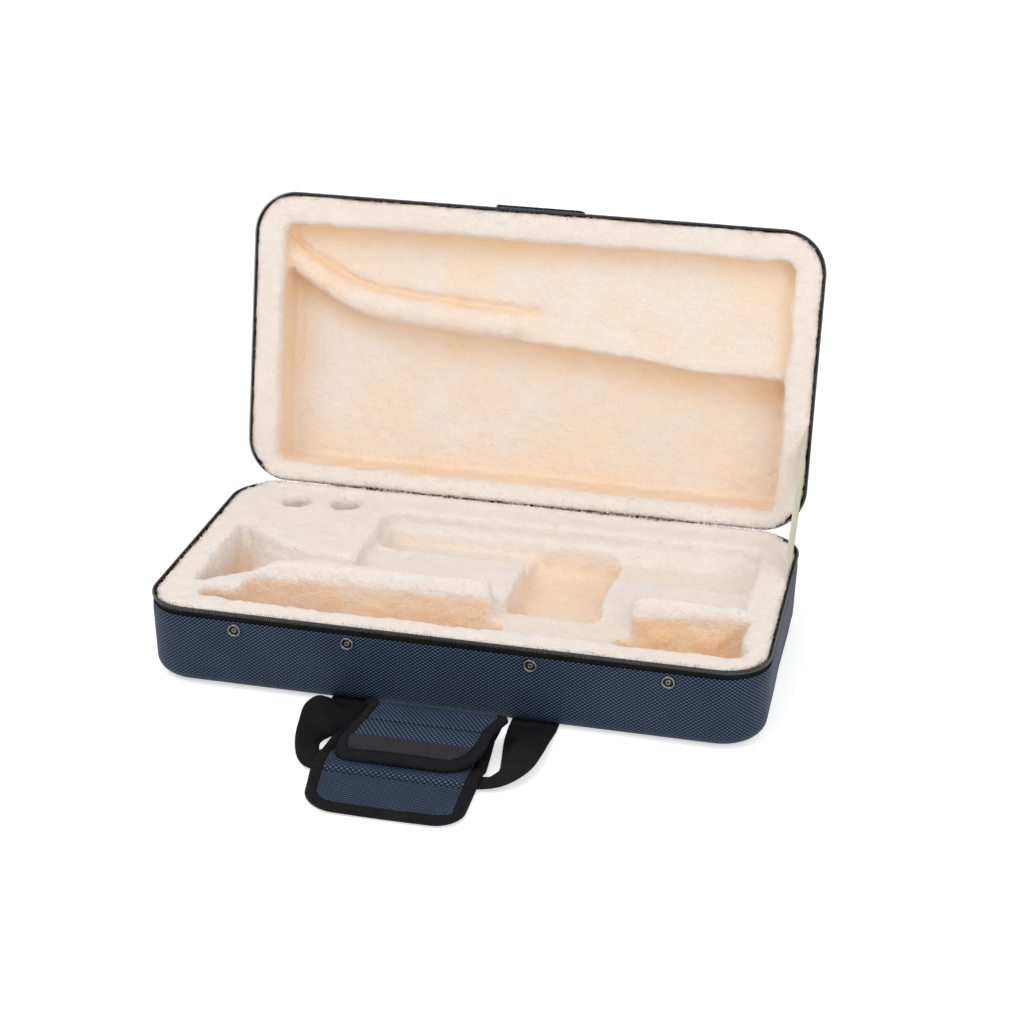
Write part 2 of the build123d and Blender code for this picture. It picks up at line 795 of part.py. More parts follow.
for side_name, side in (("left", -1), ("right", 1)):
    pin_side = Plane(origin=(side * slider_park, pin_y, slider_z), x_dir=(0, 1, 0), z_dir=(1, 0, 0))

    with BuildPart() as slider:
        with BuildSketch(slider_face):
            with Locations((-side * slider_park, 0)):
                RectangleRounded(slider_length, slider_height, slider_corner)
        extrude(amount=slider_thickness)
        for lug_side in (-1, 1):
            with BuildSketch(pin_side.offset(lug_side * (lug_inner + lug_thickness / 2))):
                Circle(pin_radius + eye_wall)
                Rectangle(
                    pin_y - slider_back - slider_thickness, 2 * (pin_radius + eye_wall),
                    align=(Align.MAX, Align.CENTER),
                )
            extrude(amount=lug_thickness / 2, both=True)
        with BuildSketch(pin_side):
            Circle(pin_radius)
        extrude(amount=lug_inner + lug_thickness, both=True)

    with BuildPart() as pull:
        with BuildSketch(pin_side):
            Circle(eye_radius)
        extrude(amount=pull_width / 2, both=True)
        with BuildSketch(Plane(origin=(0, pin_y, slider_z), x_dir=(-1, 0, 0), z_dir=(0, 1, 0))):
            with Locations((-side * slider_park, -tab_top - pull_length / 2)):
                RectangleRounded(pull_width, pull_length, pull_width / 3)
            with Locations((-side * slider_park, -pull_length)):
                Circle(pull_hole_radius, mode=Mode.SUBTRACT)
        extrude(amount=pull_thickness / 2, both=True)
        with BuildSketch(pin_side):
            Circle(pin_radius + pin_fit)
        extrude(amount=pull_width / 2, both=True, mode=Mode.SUBTRACT)

    save(slider, f"zipper_slider_{side_name}")
    save(pull, f"zipper_pull_{side_name}")
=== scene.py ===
"""Looks of an open soft-shell trumpet case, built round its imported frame.

Shapes are worked out in millimetres and turned into metres when a mesh is made. Each half of the case is
drawn in its own terms: x along the case, v across it towards the hinge, and d down from its rim.
"""

import json
from math import cos, hypot, pi, radians, sin, tan

import bmesh
import bpy
import numpy as np
from mathutils import Matrix, Vector


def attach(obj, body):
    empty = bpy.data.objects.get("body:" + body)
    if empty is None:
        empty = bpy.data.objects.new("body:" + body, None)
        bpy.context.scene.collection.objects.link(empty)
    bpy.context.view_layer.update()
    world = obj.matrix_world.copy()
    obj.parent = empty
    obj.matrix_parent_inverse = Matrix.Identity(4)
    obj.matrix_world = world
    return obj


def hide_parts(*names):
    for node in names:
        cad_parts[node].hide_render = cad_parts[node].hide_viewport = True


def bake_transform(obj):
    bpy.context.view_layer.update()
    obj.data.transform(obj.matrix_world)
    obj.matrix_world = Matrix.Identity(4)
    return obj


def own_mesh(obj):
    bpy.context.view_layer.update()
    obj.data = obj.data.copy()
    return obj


MM = 0.001
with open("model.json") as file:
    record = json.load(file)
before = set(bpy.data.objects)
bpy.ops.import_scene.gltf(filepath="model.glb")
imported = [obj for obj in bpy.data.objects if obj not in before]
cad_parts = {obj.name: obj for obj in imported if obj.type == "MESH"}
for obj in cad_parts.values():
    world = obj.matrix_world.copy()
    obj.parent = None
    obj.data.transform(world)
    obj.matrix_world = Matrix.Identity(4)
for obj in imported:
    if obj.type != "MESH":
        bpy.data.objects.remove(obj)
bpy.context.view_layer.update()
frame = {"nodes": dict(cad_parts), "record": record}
nodes = frame["nodes"]

# ---------------------------------------------------------------- sizes shared with the CAD, in mm
HALF_LENGTH = 280.0
HALF_WIDTH = 144.0
CORNER = 42.0
RIM_Z = 78.0
HALF_DEPTH = 78.0
BASE_EDGE = 14.0
LID_EDGE = 22.0
LEAN = radians(2.0)  # of the walls
SLOPE = tan(LEAN)
LID_SLACK = 0.085  # how much more the lid's walls come in, per mm of depth
HINGE_Y = 144.6
OPEN = radians(102.0)
UP_LID = (-cos(OPEN), sin(OPEN))  # y and z of the way from the hinge to the lid's free edge
INTO_LID = (sin(OPEN), cos(OPEN))  # y and z of the way into the lid
TAPE_SHOWN = 9.0  # how far the zipper's tape shows below the rim
HINGE_HALF = 188.0  # half the length of the fabric hinge
ZIPPER_START = HINGE_HALF + 4.0
COIL_HEIGHT = 4.6
COVER = 1.5  # thickness of the fabric

lattice = np.random.default_rng(11).random((4, 32, 32, 32)) * 2 - 1


def noise(points, scale, layer=0):
    """Smooth noise from -1 to 1 at points in millimetres."""
    p = np.asarray(points, float) / scale
    cell = np.floor(p).astype(int)
    f = p - cell
    f = f * f * (3 - 2 * f)
    total = np.zeros(len(p))
    for corner in range(8):
        step = np.array([corner & 1, corner >> 1 & 1, corner >> 2 & 1])
        at = (cell + step) % 32
        weight = np.prod(np.where(step, f, 1 - f), axis=1)
        total += weight * lattice[layer][at[:, 0], at[:, 1], at[:, 2]]
    return total


def smoothstep(low, high, value):
    t = np.clip((np.asarray(value, float) - low) / (high - low), 0, 1)
    return t * t * (3 - 2 * t)


def smooth_min(a, b, k):
    h = np.maximum(k - np.abs(a - b), 0) / k
    return np.minimum(a, b) - h * h * k / 4


def smooth_max(a, b, k):
    return -smooth_min(-a, -b, k)


# ---------------------------------------------------------------- the two halves' own coordinates
def place(half, p):
    """Points given as x, v, d of a half, as x, y, z of the row's frame, in mm."""
    p = np.asarray(p, float)
    x, v, d = p[..., 0], p[..., 1], p[..., 2]
    if half == "base":
        return np.stack([x, v, RIM_Z - d], axis=-1)
    u = HINGE_Y - v
    y = HINGE_Y + UP_LID[0] * u + INTO_LID[0] * d
    z = RIM_Z + UP_LID[1] * u + INTO_LID[1] * d
    return np.stack([x, y, z], axis=-1)


def turned(half, vectors):
    """Directions given in a half's terms, as directions of the row's frame."""
    return place(half, vectors) - place(half, (0, 0, 0))


STRAIGHT_X = HALF_LENGTH - CORNER
STRAIGHT_V = HALF_WIDTH - CORNER
QUARTER = CORNER * pi / 2
RIM_LENGTH = 4 * STRAIGHT_X + 4 * STRAIGHT_V + 4 * QUARTER
ZIPPER_LENGTH = RIM_LENGTH - 2 * ZIPPER_START


def rim_line(s):
    """Points and outward directions of the rim's outline, s mm from the middle of the hinge side."""
    s = np.asarray(s, float) % RIM_LENGTH
    x, v, nx, nv = (np.zeros_like(s) for _ in range(4))
    start = 0.0
    runs = [
        (STRAIGHT_X, (0, HALF_WIDTH), (1, 0), (0, 1)),
        (QUARTER, (STRAIGHT_X, STRAIGHT_V), pi / 2, None),
        (2 * STRAIGHT_V, (HALF_LENGTH, STRAIGHT_V), (0, -1), (1, 0)),
        (QUARTER, (STRAIGHT_X, -STRAIGHT_V), 0.0, None),
        (2 * STRAIGHT_X, (STRAIGHT_X, -HALF_WIDTH), (-1, 0), (0, -1)),
        (QUARTER, (-STRAIGHT_X, -STRAIGHT_V), -pi / 2, None),
        (2 * STRAIGHT_V, (-HALF_LENGTH, -STRAIGHT_V), (0, 1), (-1, 0)),
        (QUARTER, (-STRAIGHT_X, STRAIGHT_V), pi, None),
        (STRAIGHT_X, (-STRAIGHT_X, HALF_WIDTH), (1, 0), (0, 1)),
    ]
    for length, origin, way, normal in runs:
        here = (s >= start) & (s <= start + length)
        t = s[here] - start
        if normal is None:
            angle = way - t / CORNER
            nx[here], nv[here] = np.cos(angle), np.sin(angle)
            x[here] = origin[0] + CORNER * nx[here]
            v[here] = origin[1] + CORNER * nv[here]
        else:
            x[here], v[here] = origin[0] + way[0] * t, origin[1] + way[1] * t
            nx[here], nv[here] = normal
        start += length
    return np.stack([x, v], axis=-1), np.stack([nx, nv], axis=-1)


def drawn_in(half, d):
    """How far a half's walls have come in at a depth: the lid's are slack and lean in more."""
    return np.asarray(d, float) * (SLOPE + (LID_SLACK if half == "lid" else 0.0))


def wall_points(half, s, inset, d):
    """Points at rim places s, drawn in by inset from the wall's face, d below the rim."""
    at, out = rim_line(s)
    flat = at - out * (np.asarray(inset) + drawn_in(half, d))[..., None]
    depth = np.broadcast_to(np.asarray(d, float), flat.shape[:-1])
    return np.concatenate([flat, depth[..., None]], axis=-1)


# ---------------------------------------------------------------- making meshes
def unit(vectors):
    """Vectors at a length of 1."""
    return vectors / np.linalg.norm(vectors, axis=1)[:, None]


def add_object(name, data):
    obj = bpy.data.objects.new(name, data)
    bpy.context.collection.objects.link(obj)
    return obj


def make_mesh(name, points, faces, material, uv=None):
    """Object from points in mm and faces, with a UV per point in mm if given."""
    mesh = bpy.data.meshes.new(name)
    mesh.from_pydata((np.asarray(points, float) * MM).tolist(), [], [list(map(int, f)) for f in faces])
    mesh.materials.append(material)
    if uv is not None:
        layer = mesh.uv_layers.new(name="cloth")
        corner = np.empty(len(mesh.loops), int)
        mesh.loops.foreach_get("vertex_index", corner)
        layer.data.foreach_set("uv", (np.asarray(uv, float)[corner] * MM).ravel())
    mesh.shade_smooth()
    return add_object(name, mesh)


def fix_normals(obj, middle=None):
    """Turns a closed mesh's faces outwards, or an open shell's away from its middle."""
    mesh = bmesh.new()
    mesh.from_mesh(obj.data)
    bmesh.ops.recalc_face_normals(mesh, faces=mesh.faces)
    if middle is not None:
        middle = Vector(middle * MM)
        face = max(mesh.faces, key=lambda face: (face.calc_center_median() - middle).length)
        if face.normal.dot(face.calc_center_median() - middle) < 0:
            bmesh.ops.reverse_faces(mesh, faces=mesh.faces)
    mesh.to_mesh(obj.data)
    mesh.free()


def grid_faces(rows, columns, wrap=False):
    """Quads of a grid of points numbered row by row, each row closed into a ring if wrap is set."""
    faces = []
    for a in range(0, (rows - 1) * columns, columns):
        for j in range(columns if wrap else columns - 1):
            k = (j + 1) % columns
            faces.append((a + j, a + k, a + columns + k, a + columns + j))
    return faces


def slab_faces(rows, columns):
    """Faces of a closed slab: a grid, a second one below it, and the strip that joins their rims."""
    size = rows * columns
    faces = grid_faces(rows, columns)
    faces += [tuple(size + i for i in reversed(face)) for face in faces]
    rim = list(range(columns)) + [i * columns + columns - 1 for i in range(1, rows)]
    rim += [(rows - 1) * columns + j for j in range(columns - 2, -1, -1)]
    rim += [i * columns for i in range(rows - 2, 0, -1)]
    return faces + [(a, a + size, b + size, b) for a, b in zip(rim, rim[1:] + rim[:1])]


def sweep(name, material, rings, uv_along=None):
    """Solid skin over rings of points, each a closed loop, with capped ends."""
    rings = np.asarray(rings, float)
    count, size = rings.shape[:2]
    faces = grid_faces(count, size, wrap=True)
    faces.append(tuple(range(size)))
    faces.append(tuple((count - 1) * size + i for i in reversed(range(size))))
    uv = None
    if uv_along is not None:
        gaps = np.linalg.norm(np.roll(rings[0], -1, axis=0) - rings[0], axis=1)
        around = np.concatenate([[0], np.cumsum(gaps)[:-1]])
        uv = np.broadcast_arrays(np.asarray(uv_along)[:, None], around[None, :])
        uv = np.stack(uv, axis=-1).reshape(-1, 2)
    obj = make_mesh(name, rings.reshape(-1, 3), faces, material, uv)
    fix_normals(obj)
    return obj


def apply_modifier(obj, kind, **settings):
    modifier = obj.modifiers.new(kind.lower(), kind)
    for key, value in settings.items():
        setattr(modifier, key, value)
    bpy.context.view_layer.objects.active = obj
    with bpy.context.temp_override(object=obj, active_object=obj):
        bpy.ops.object.modifier_apply(modifier=modifier.name)


def mesh_points(obj):
    points = np.empty(len(obj.data.vertices) * 3)
    obj.data.vertices.foreach_get("co", points)
    return points.reshape(-1, 3) / MM


def set_points(obj, points):
    obj.data.vertices.foreach_set("co", (points * MM).ravel())
    obj.data.update()


def mesh_normals(obj):
    normals = np.empty(len(obj.data.vertices) * 3)
    obj.data.vertices.foreach_get("normal", normals)
    return normals.reshape(-1, 3)


def dress(obj, body, slot, *replaced):
    """Rides a piece on its body and hides the parts it replaces."""
    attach(obj, body)
    if replaced:
        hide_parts(*replaced)


# ---------------------------------------------------------------- materials
class Look:
    """A Principled material and the nodes that feed it."""

    def __init__(self, name, roughness=0.5, **inputs):
        self.material = bpy.data.materials.new(name)
        self.material.use_nodes = True
        self.tree = self.material.node_tree
        self.shader = self.tree.nodes["Principled BSDF"]
        self.set(Roughness=roughness, **inputs)

    def set(self, **inputs):
        for key, value in inputs.items():
            self.feed(self.shader.inputs[key.replace("_", " ")], value)

    def feed(self, socket, value):
        if isinstance(value, bpy.types.NodeSocket):
            self.tree.links.new(value, socket)
        else:
            socket.default_value = (*value, 1.0) if isinstance(value, tuple) else value

    def add(self, kind, inputs=None, **settings):
        node = self.tree.nodes.new("ShaderNode" + kind)
        for key, value in settings.items():
            setattr(node, key, value)
        for key, value in (inputs or {}).items():
            self.feed(node.inputs[key], value)
        return node

    def sum(self, operation, *values):
        return self.add("Math", dict(enumerate(values)), operation=operation).outputs[0]

    def times(self, a, b):
        return self.sum("MULTIPLY", a, b)

    def scaled(self, value, factor, plus):
        return self.sum("MULTIPLY_ADD", value, factor, plus)

    def mix(self, factor, low, high):
        node = self.add("Mix", data_type="RGBA")
        self.feed(node.inputs["Factor"], factor)
        self.feed(node.inputs[6], low)
        self.feed(node.inputs[7], high)
        return node.outputs[2]

    def noise(self, scale, detail=2.0, distortion=0.0):
        place = self.add("TexCoord").outputs["Object"]
        inputs = {"Scale": scale, "Detail": detail, "Distortion": distortion, "Vector": place}
        return self.add("TexNoise", inputs).outputs["Fac"]

    def bump(self, height, distance, strength):
        inputs = {"Strength": strength, "Distance": distance, "Height": height}
        return self.add("Bump", inputs).outputs["Normal"]

    def waves(self, kind, *pitches):
        """Waves along the cloth's own two coordinates, with pitches in mm."""
        cloth = self.add("UVMap", uv_map="cloth").outputs[0]
        split = self.add("SeparateXYZ", {0: cloth})
        pairs = zip(split.outputs, pitches)
        return [self.sum(kind, self.times(place, 2 * pi / (pitch * MM))) for place, pitch in pairs]


def weave_look(name, wide, tall, dark, light):
    """Basket weave that follows the cloth's own coordinates: staggered dashes on dark, the light colour drawn
    on the threads' crests as a painted highlight.
    """
    look = Look(name, 0.6)
    across, along = look.waves("COSINE", wide, tall)
    dashes = []
    for sign in (1, -1):
        a = look.sum("POWER", look.sum("MAXIMUM", look.times(across, sign), 0.0), 0.6)
        b = look.sum("POWER", look.sum("MAXIMUM", look.times(along, sign), 0.0), 1.3)
        dashes.append(look.times(a, b))
    dash = look.sum("ADD", *dashes)
    patchiness = look.scaled(look.noise(30.0, 3.0), 0.7, 0.62)
    thread = look.scaled(look.noise(1400.0), 0.5, 0.75)
    # the threads' crests take the light colour as a painted highlight, unevenly in patches and from thread to
    # thread
    look.set(Base_Color=look.mix(look.times(dash, look.times(patchiness, thread)), dark, light))
    look.set(Normal=look.bump(dash, 0.0006, 0.9), Specular_IOR_Level=0.22)
    return look.material


def ribbed_look(name, pitch, row, dark, light, depth=0.00035):
    """Woven tape: ribs across the tape and fine rows along it, drawn lighter on their crests and darker
    between them as painted highlight and shade.
    """
    look = Look(name, 0.7)
    rib, rows = look.waves("SINE", pitch, row)
    height = look.scaled(rib, 0.5, look.times(rows, 0.35))
    level = look.scaled(height, 0.45, look.noise(60.0))
    # the ribs' crests are drawn lighter and the grooves darker: painted highlight and shade, with an uneven
    # tone
    look.set(Base_Color=look.mix(look.times(level, 0.9), dark, light))
    look.set(Normal=look.bump(height, depth, 0.8), Specular_IOR_Level=0.12)
    return look.material


def plush_look():
    """Cream pile that turns peach where its per-point attribute says, a peach that is partly the pile's own
    tone and partly painted shade, with a soft grain and combed patches.
    """
    look = Look("plush", 0.95)
    peach_and_shade = look.add("Attribute", attribute_name="peach_and_shade").outputs["Fac"]
    patches = look.noise(18.0, 3.0, distortion=0.6)
    grain = look.noise(1100.0)
    tuft = look.noise(260.0, 3.0, distortion=1.0)
    pale = look.mix(patches, (0.85, 0.765, 0.70), (0.92, 0.855, 0.81))
    # peach: partly the pile's own tone, partly painted shade where the per-point attribute is high
    peach = look.mix(patches, (0.95, 0.66, 0.42), (0.98, 0.75, 0.52))
    shade = look.scaled(tuft, 0.30, look.scaled(grain, 0.16, 0.77))
    look.set(Base_Color=look.mix(shade, (0.66, 0.51, 0.40), look.mix(peach_and_shade, pale, peach)))
    look.set(Normal=look.bump(look.scaled(tuft, 0.8, look.times(grain, 0.25)), 0.0024, 0.8))
    look.set(Sheen_Weight=0.35, Sheen_Roughness=0.6, Sheen_Tint=(1.0, 0.95, 0.90), Specular_IOR_Level=0.08)
    return look.material


def metal_look(name, colour, roughness):
    look = Look(name, roughness, Metallic=1.0)
    smear = look.noise(420.0, 3.0)
    look.set(Base_Color=look.mix(smear, tuple(c * 0.55 for c in colour), colour))
    look.set(Roughness=look.scaled(look.noise(150.0), 0.25, roughness - 0.1))
    look.set(Normal=look.bump(smear, 0.00008, 0.5))
    return look.material


def soft_look(name, dark, light, scale, depth, roughness=0.8):
    """Matt surface with a fine uneven grain, for foam, board and fuzzy loop tape."""
    look = Look(name, roughness)
    grain = look.noise(scale, 3.0, distortion=0.8)
    look.set(Base_Color=look.mix(grain, dark, light))
    look.set(Normal=look.bump(grain, depth, 0.9), Specular_IOR_Level=0.25)
    return look.material


navy = weave_look("navy_weave", 4.5, 3.3, (0.003, 0.005, 0.012), (0.100, 0.160, 0.305))
black_tape = ribbed_look("black_tape", 1.1, 0.7, (0.0025, 0.0025, 0.003), (0.014, 0.013, 0.014))
webbing = ribbed_look("webbing", 1.7, 1.5, (0.0025, 0.0025, 0.003), (0.020, 0.019, 0.020), depth=0.0005)
binding = ribbed_look("binding", 1.3, 1.0, (0.002, 0.002, 0.003), (0.015, 0.014, 0.016))
stay_tape = ribbed_look("stay_tape", 1.2, 0.9, (0.62, 0.58, 0.42), (0.86, 0.83, 0.70), depth=0.0002)
plush = plush_look()
teeth = Look("zipper_teeth", 0.24, Specular_IOR_Level=0.9)
# grey patches on the black teeth, up to 0.085: a painted highlight standing in for glints
teeth.set(Base_Color=teeth.mix(teeth.noise(300.0), (0.010, 0.010, 0.010), (0.085, 0.080, 0.076)))
teeth = teeth.material
gunmetal = metal_look("gunmetal", (0.24, 0.225, 0.215), 0.24)
# dark metal for the rivets' hollows: painted shade
shadow_metal = metal_look("gunmetal_shadow", (0.035, 0.032, 0.03), 0.4)
fastener = soft_look("fastener", (0.006, 0.006, 0.008), (0.05, 0.045, 0.05), 700.0, 0.0012, 0.95)
foam_look = soft_look("foam", (0.60, 0.57, 0.50), (0.78, 0.75, 0.68), 500.0, 0.0006)
board = soft_look("board", (0.08, 0.08, 0.08), (0.15, 0.15, 0.15), 300.0, 0.0002, 0.6)

SLOT_LOOKS = {
    "navy_weave": navy, "foam": foam_look, "plush": plush, "black_tape": black_tape, "zipper_teeth": teeth,
    "gunmetal": gunmetal, "board": board, "webbing": webbing, "binding": binding, "fastener": fastener,
    "stay_tape": stay_tape,
}
for subpart in frame["record"]["subparts"]:
    for material_slot in nodes[subpart["node"]].material_slots:
        material_slot.material = SLOT_LOOKS[subpart["material_slot"]]


# ---------------------------------------------------------------- covers
def coons(front, right, back, left):
    """Grid of points inside four edges. front and back run left to right, left and right front to back."""
    across = np.linspace(0, 1, len(front))[:, None, None]
    along = np.linspace(0, 1, len(left))[None, :, None]
    edge_x = (1 - along) * front[:, None] + along * back[:, None]
    edge_v = (1 - across) * left[None, :] + across * right[None, :]
    corners = (1 - across) * ((1 - along) * front[0] + along * back[0])
    corners = corners + across * ((1 - along) * front[-1] + along * back[-1])
    return edge_x + edge_v - corners


RIVETS = (-191.0, -87.0, 77.0, 197.0)
RIVET_DEPTH = 17.0


def cover(half, edge):
    """Fabric shell of a half: walls with a slight fullness, a rounded edge and a crowned panel."""
    long_cells, short_cells, corner_cells = 96, 42, 12
    corner, side = (QUARTER, corner_cells), (2 * STRAIGHT_V, short_cells)
    front, back = (2 * STRAIGHT_X, long_cells), (STRAIGHT_X, long_cells // 2)
    starts, s, position = [], [], 0.0
    for length, cells in (back, corner, side, corner, front, corner, side, corner, back):
        starts.append(len(s))
        s.extend(position + length * np.arange(cells) / cells)
        position += length
    s = np.array(s)
    count = len(s)
    straight_end = HALF_DEPTH - edge
    profile = [(COVER, TAPE_SHOWN + 2.6), (1.0, TAPE_SHOWN + 0.5), (0.3, TAPE_SHOWN), (0.0, TAPE_SHOWN + 0.7)]
    profile += [(0.0, d) for d in np.linspace(TAPE_SHOWN + 3, straight_end, 14)]
    for step in range(1, 9):
        angle = step * pi / 16
        profile.append((edge * (1 - cos(angle)), straight_end + edge * sin(angle)))
    rings = np.array([wall_points(half, s, inset, d) for inset, d in profile])
    out = np.concatenate([rim_line(s)[1], np.zeros((count, 1))], axis=1)
    ease = 0.9 if half == "base" else 0.1
    for ring, (inset, d) in list(zip(rings, profile))[3:-4]:
        fade = smoothstep(TAPE_SHOWN, TAPE_SHOWN + 8, d) * (1 - smoothstep(straight_end, HALF_DEPTH, d))
        pucker = 0.35 * np.exp(-(d - TAPE_SHOWN) / 9) * np.sin(s * 2 * pi / 13 + 2 * noise(ring, 60, 1))
        full = fade * (ease + (ease + 0.2) * noise(ring, 75, 2) + 0.35 * noise(ring, 24, 3))
        swell = full + pucker
        for x in RIVETS if half == "base" else ():
            near = smoothstep(5, 22, np.hypot(ring[:, 0] - x, d - RIVET_DEPTH))
            swell = np.where(ring[:, 1] < -130, swell * near, swell)
        ring += out * swell[:, None]
    # the panel: a grid inside the last ring, whose corners are the middles of the rounded corners
    last = rings[-1]
    middles = [starts[i] + corner_cells // 2 for i in (1, 3, 5, 7)]  # hinge right, front right, and so on
    edges = []
    for start, stop in zip(middles, middles[1:] + [middles[0] + count]):
        edges.append([i % count for i in range(start, stop + 1)])
    right_edge, front_edge, left_edge, back_edge = edges
    panel = coons(last[front_edge[::-1]], last[right_edge[::-1]], last[back_edge], last[left_edge])
    rows, columns = panel.shape[:2]
    crown = np.sin(np.linspace(0, pi, rows))[:, None] * np.sin(np.linspace(0, pi, columns))[None, :]
    if half == "base":
        panel[..., 2] -= 0.5 * crown
    else:
        lumps = noise(panel.reshape(-1, 3), 110, 1).reshape(rows, columns)
        panel[..., 2] += crown * (2.2 + 1.2 * lumps)
    number = np.full((rows, columns), -1)
    number[:, 0], number[:, -1] = front_edge[::-1], back_edge
    number[0, :], number[-1, :] = left_edge, right_edge[::-1]
    number = np.where(number >= 0, number + (len(profile) - 1) * count, -1)
    inner = number < 0
    number[inner] = len(profile) * count + np.arange(inner.sum())
    points = np.concatenate([rings.reshape(-1, 3), panel[inner]])
    faces = grid_faces(len(profile), count, wrap=True)
    for i in range(rows - 1):
        for j in range(columns - 1):
            faces.append((number[i, j], number[i + 1, j], number[i + 1, j + 1], number[i, j + 1]))
    obj = make_mesh(f"{half}_shell", place(half, points), faces, navy)
    # cloth coordinates: round the walls, and straight over the panel
    uv = np.zeros((len(obj.data.loops), 2))
    steps = [hypot(b[0] - a[0], b[1] - a[1]) for a, b in zip(profile, profile[1:])]
    run_down = np.concatenate([[0], np.cumsum(steps)])
    for polygon in obj.data.polygons:
        for loop, vertex in zip(polygon.loop_indices, polygon.vertices):
            ring, column = divmod(vertex, count)
            if polygon.index >= (len(profile) - 1) * count:
                uv[loop] = points[vertex][:2]
            elif column == 0 and polygon.index % count == count - 1:
                uv[loop] = (RIM_LENGTH, run_down[ring])
            else:
                uv[loop] = (s[column], run_down[ring])
    obj.data.uv_layers.new(name="cloth").data.foreach_set("uv", (uv * MM).ravel())
    fix_normals(obj, place(half, (0, 0, HALF_DEPTH / 2)))
    apply_modifier(obj, "SOLIDIFY", thickness=COVER * 0.8 * MM, offset=-1.0)
    dress(obj, half, "navy_weave", f"{half}_cover")


cover("base", BASE_EDGE)
cover("lid", LID_EDGE)


# ---------------------------------------------------------------- rivets
RIVET_PROFILE = (  # radius and height over the wall, from the eye outwards
    (0.0, -0.3), (0.75, -0.3), (0.95, 0.7), (1.3, 1.15), (1.9, 1.2), (2.4, 0.8), (2.65, 0.15), (3.9, 0.1),
    (4.15, 0.9), (4.5, 1.6), (5.1, 1.95), (5.7, 1.7), (6.15, 1.0), (6.3, 0.1), (6.1, -0.4),
)
RIVET_SHADE_ROWS = (0, 1, 5, 6, 7)  # of its profile: the eye and the trough round the boss, drawn dark as painted shade


def rivets():
    """Eyelet rivets of the front wall: a rolled ring round a cup with a small domed boss, the eye and the
    trough round the boss in a dark metal as painted shade.
    """
    sides, rows = 40, len(RIVET_PROFILE)
    down = np.array([0.0, sin(LEAN), -cos(LEAN)])
    out = np.array([0.0, -cos(LEAN), -sin(LEAN)])
    points, faces = [], []
    for number, x in enumerate(RIVETS):
        middle = np.array([x, -(HALF_WIDTH - RIVET_DEPTH * SLOPE), RIM_Z - RIVET_DEPTH])
        first = len(points)
        for radius, height in RIVET_PROFILE:
            for k in range(sides):
                angle = 2 * pi * k / sides
                dent = 1 + 0.012 * sin(3 * angle + 1.7 * number)
                around = np.array([1.0, 0, 0]) * cos(angle) + down * sin(angle)
                points.append(middle + around * max(radius, 0.02) * dent + out * height)
        caps = [range(sides), [(rows - 1) * sides + i for i in reversed(range(sides))]]
        faces += [tuple(first + i for i in face) for face in grid_faces(rows, sides, wrap=True) + caps]
    obj = make_mesh("eyelet_rivets", points, faces, gunmetal)
    # the eye and the trough round the boss take the dark metal: painted shade
    obj.data.materials.append(shadow_metal)
    for polygon in obj.data.polygons:
        row = polygon.index % ((rows - 1) * sides + 2) // sides
        polygon.material_index = 1 if row in RIVET_SHADE_ROWS else 0
    fix_normals(obj)
    dress(obj, "base", "gunmetal", "rivet_caps")


rivets()


# ---------------------------------------------------------------- zipper
def zip_tape(half, lip):
    """Tape that carries the teeth. Its rolled inner edge starts at depth lip."""
    count = int(round(ZIPPER_LENGTH / 6.0))
    s = ZIPPER_START + ZIPPER_LENGTH * np.arange(count + 1) / count
    rolled = [(1.35, lip + 0.4), (1.9, lip), (2.3, lip + 0.4)]
    profile = rolled + [(2.3, 17.5), (1.6, 17.5), (1.5, TAPE_SHOWN + 1), (1.3, 6.0)]
    rings = np.stack([wall_points(half, s, inset, d) for inset, d in profile], axis=1)
    obj = sweep(f"{half}_zip_tape", black_tape, place(half, rings), s)
    dress(obj, half, "black_tape", f"{half}_zipper_tape")


def zip_coil(half, reach):
    """Moulded teeth: a flattened spiral along the tape's edge, reach mm to each side of its middle."""
    pitch, turn_points, sides, wire = 2.1, 12, 5, 0.55
    turns = int(ZIPPER_LENGTH / pitch)
    t = np.arange(turns * turn_points + 1) / turn_points
    s = ZIPPER_START + t * ZIPPER_LENGTH / turns
    angle = 2 * pi * t
    depth = COIL_HEIGHT / 2 + 0.1 - (COIL_HEIGHT / 2 - 0.5) * np.cos(angle)
    path = place(half, wall_points(half, s, reach + 0.1 - reach * np.sin(angle), depth))
    tangent = unit(np.gradient(path, axis=0))
    out = rim_line(s)[1]
    side = unit(np.cross(tangent, turned(half, np.stack([-out[:, 1], out[:, 0], np.zeros(len(s))], axis=1))))
    other = np.cross(tangent, side)
    ways = [2 * pi * k / sides for k in range(sides)]
    rings = [path + wire * (cos(way) * side + sin(way) * other) for way in ways]
    obj = sweep(f"{half}_zip_coil", teeth, np.stack(rings, axis=1))
    dress(obj, half, "zipper_teeth", f"{half}_zipper_teeth")


for half, lip, reach in (("base", 0.6, 0.6), ("lid", 1.7, 1.05)):
    zip_tape(half, lip)
    zip_coil(half, reach)


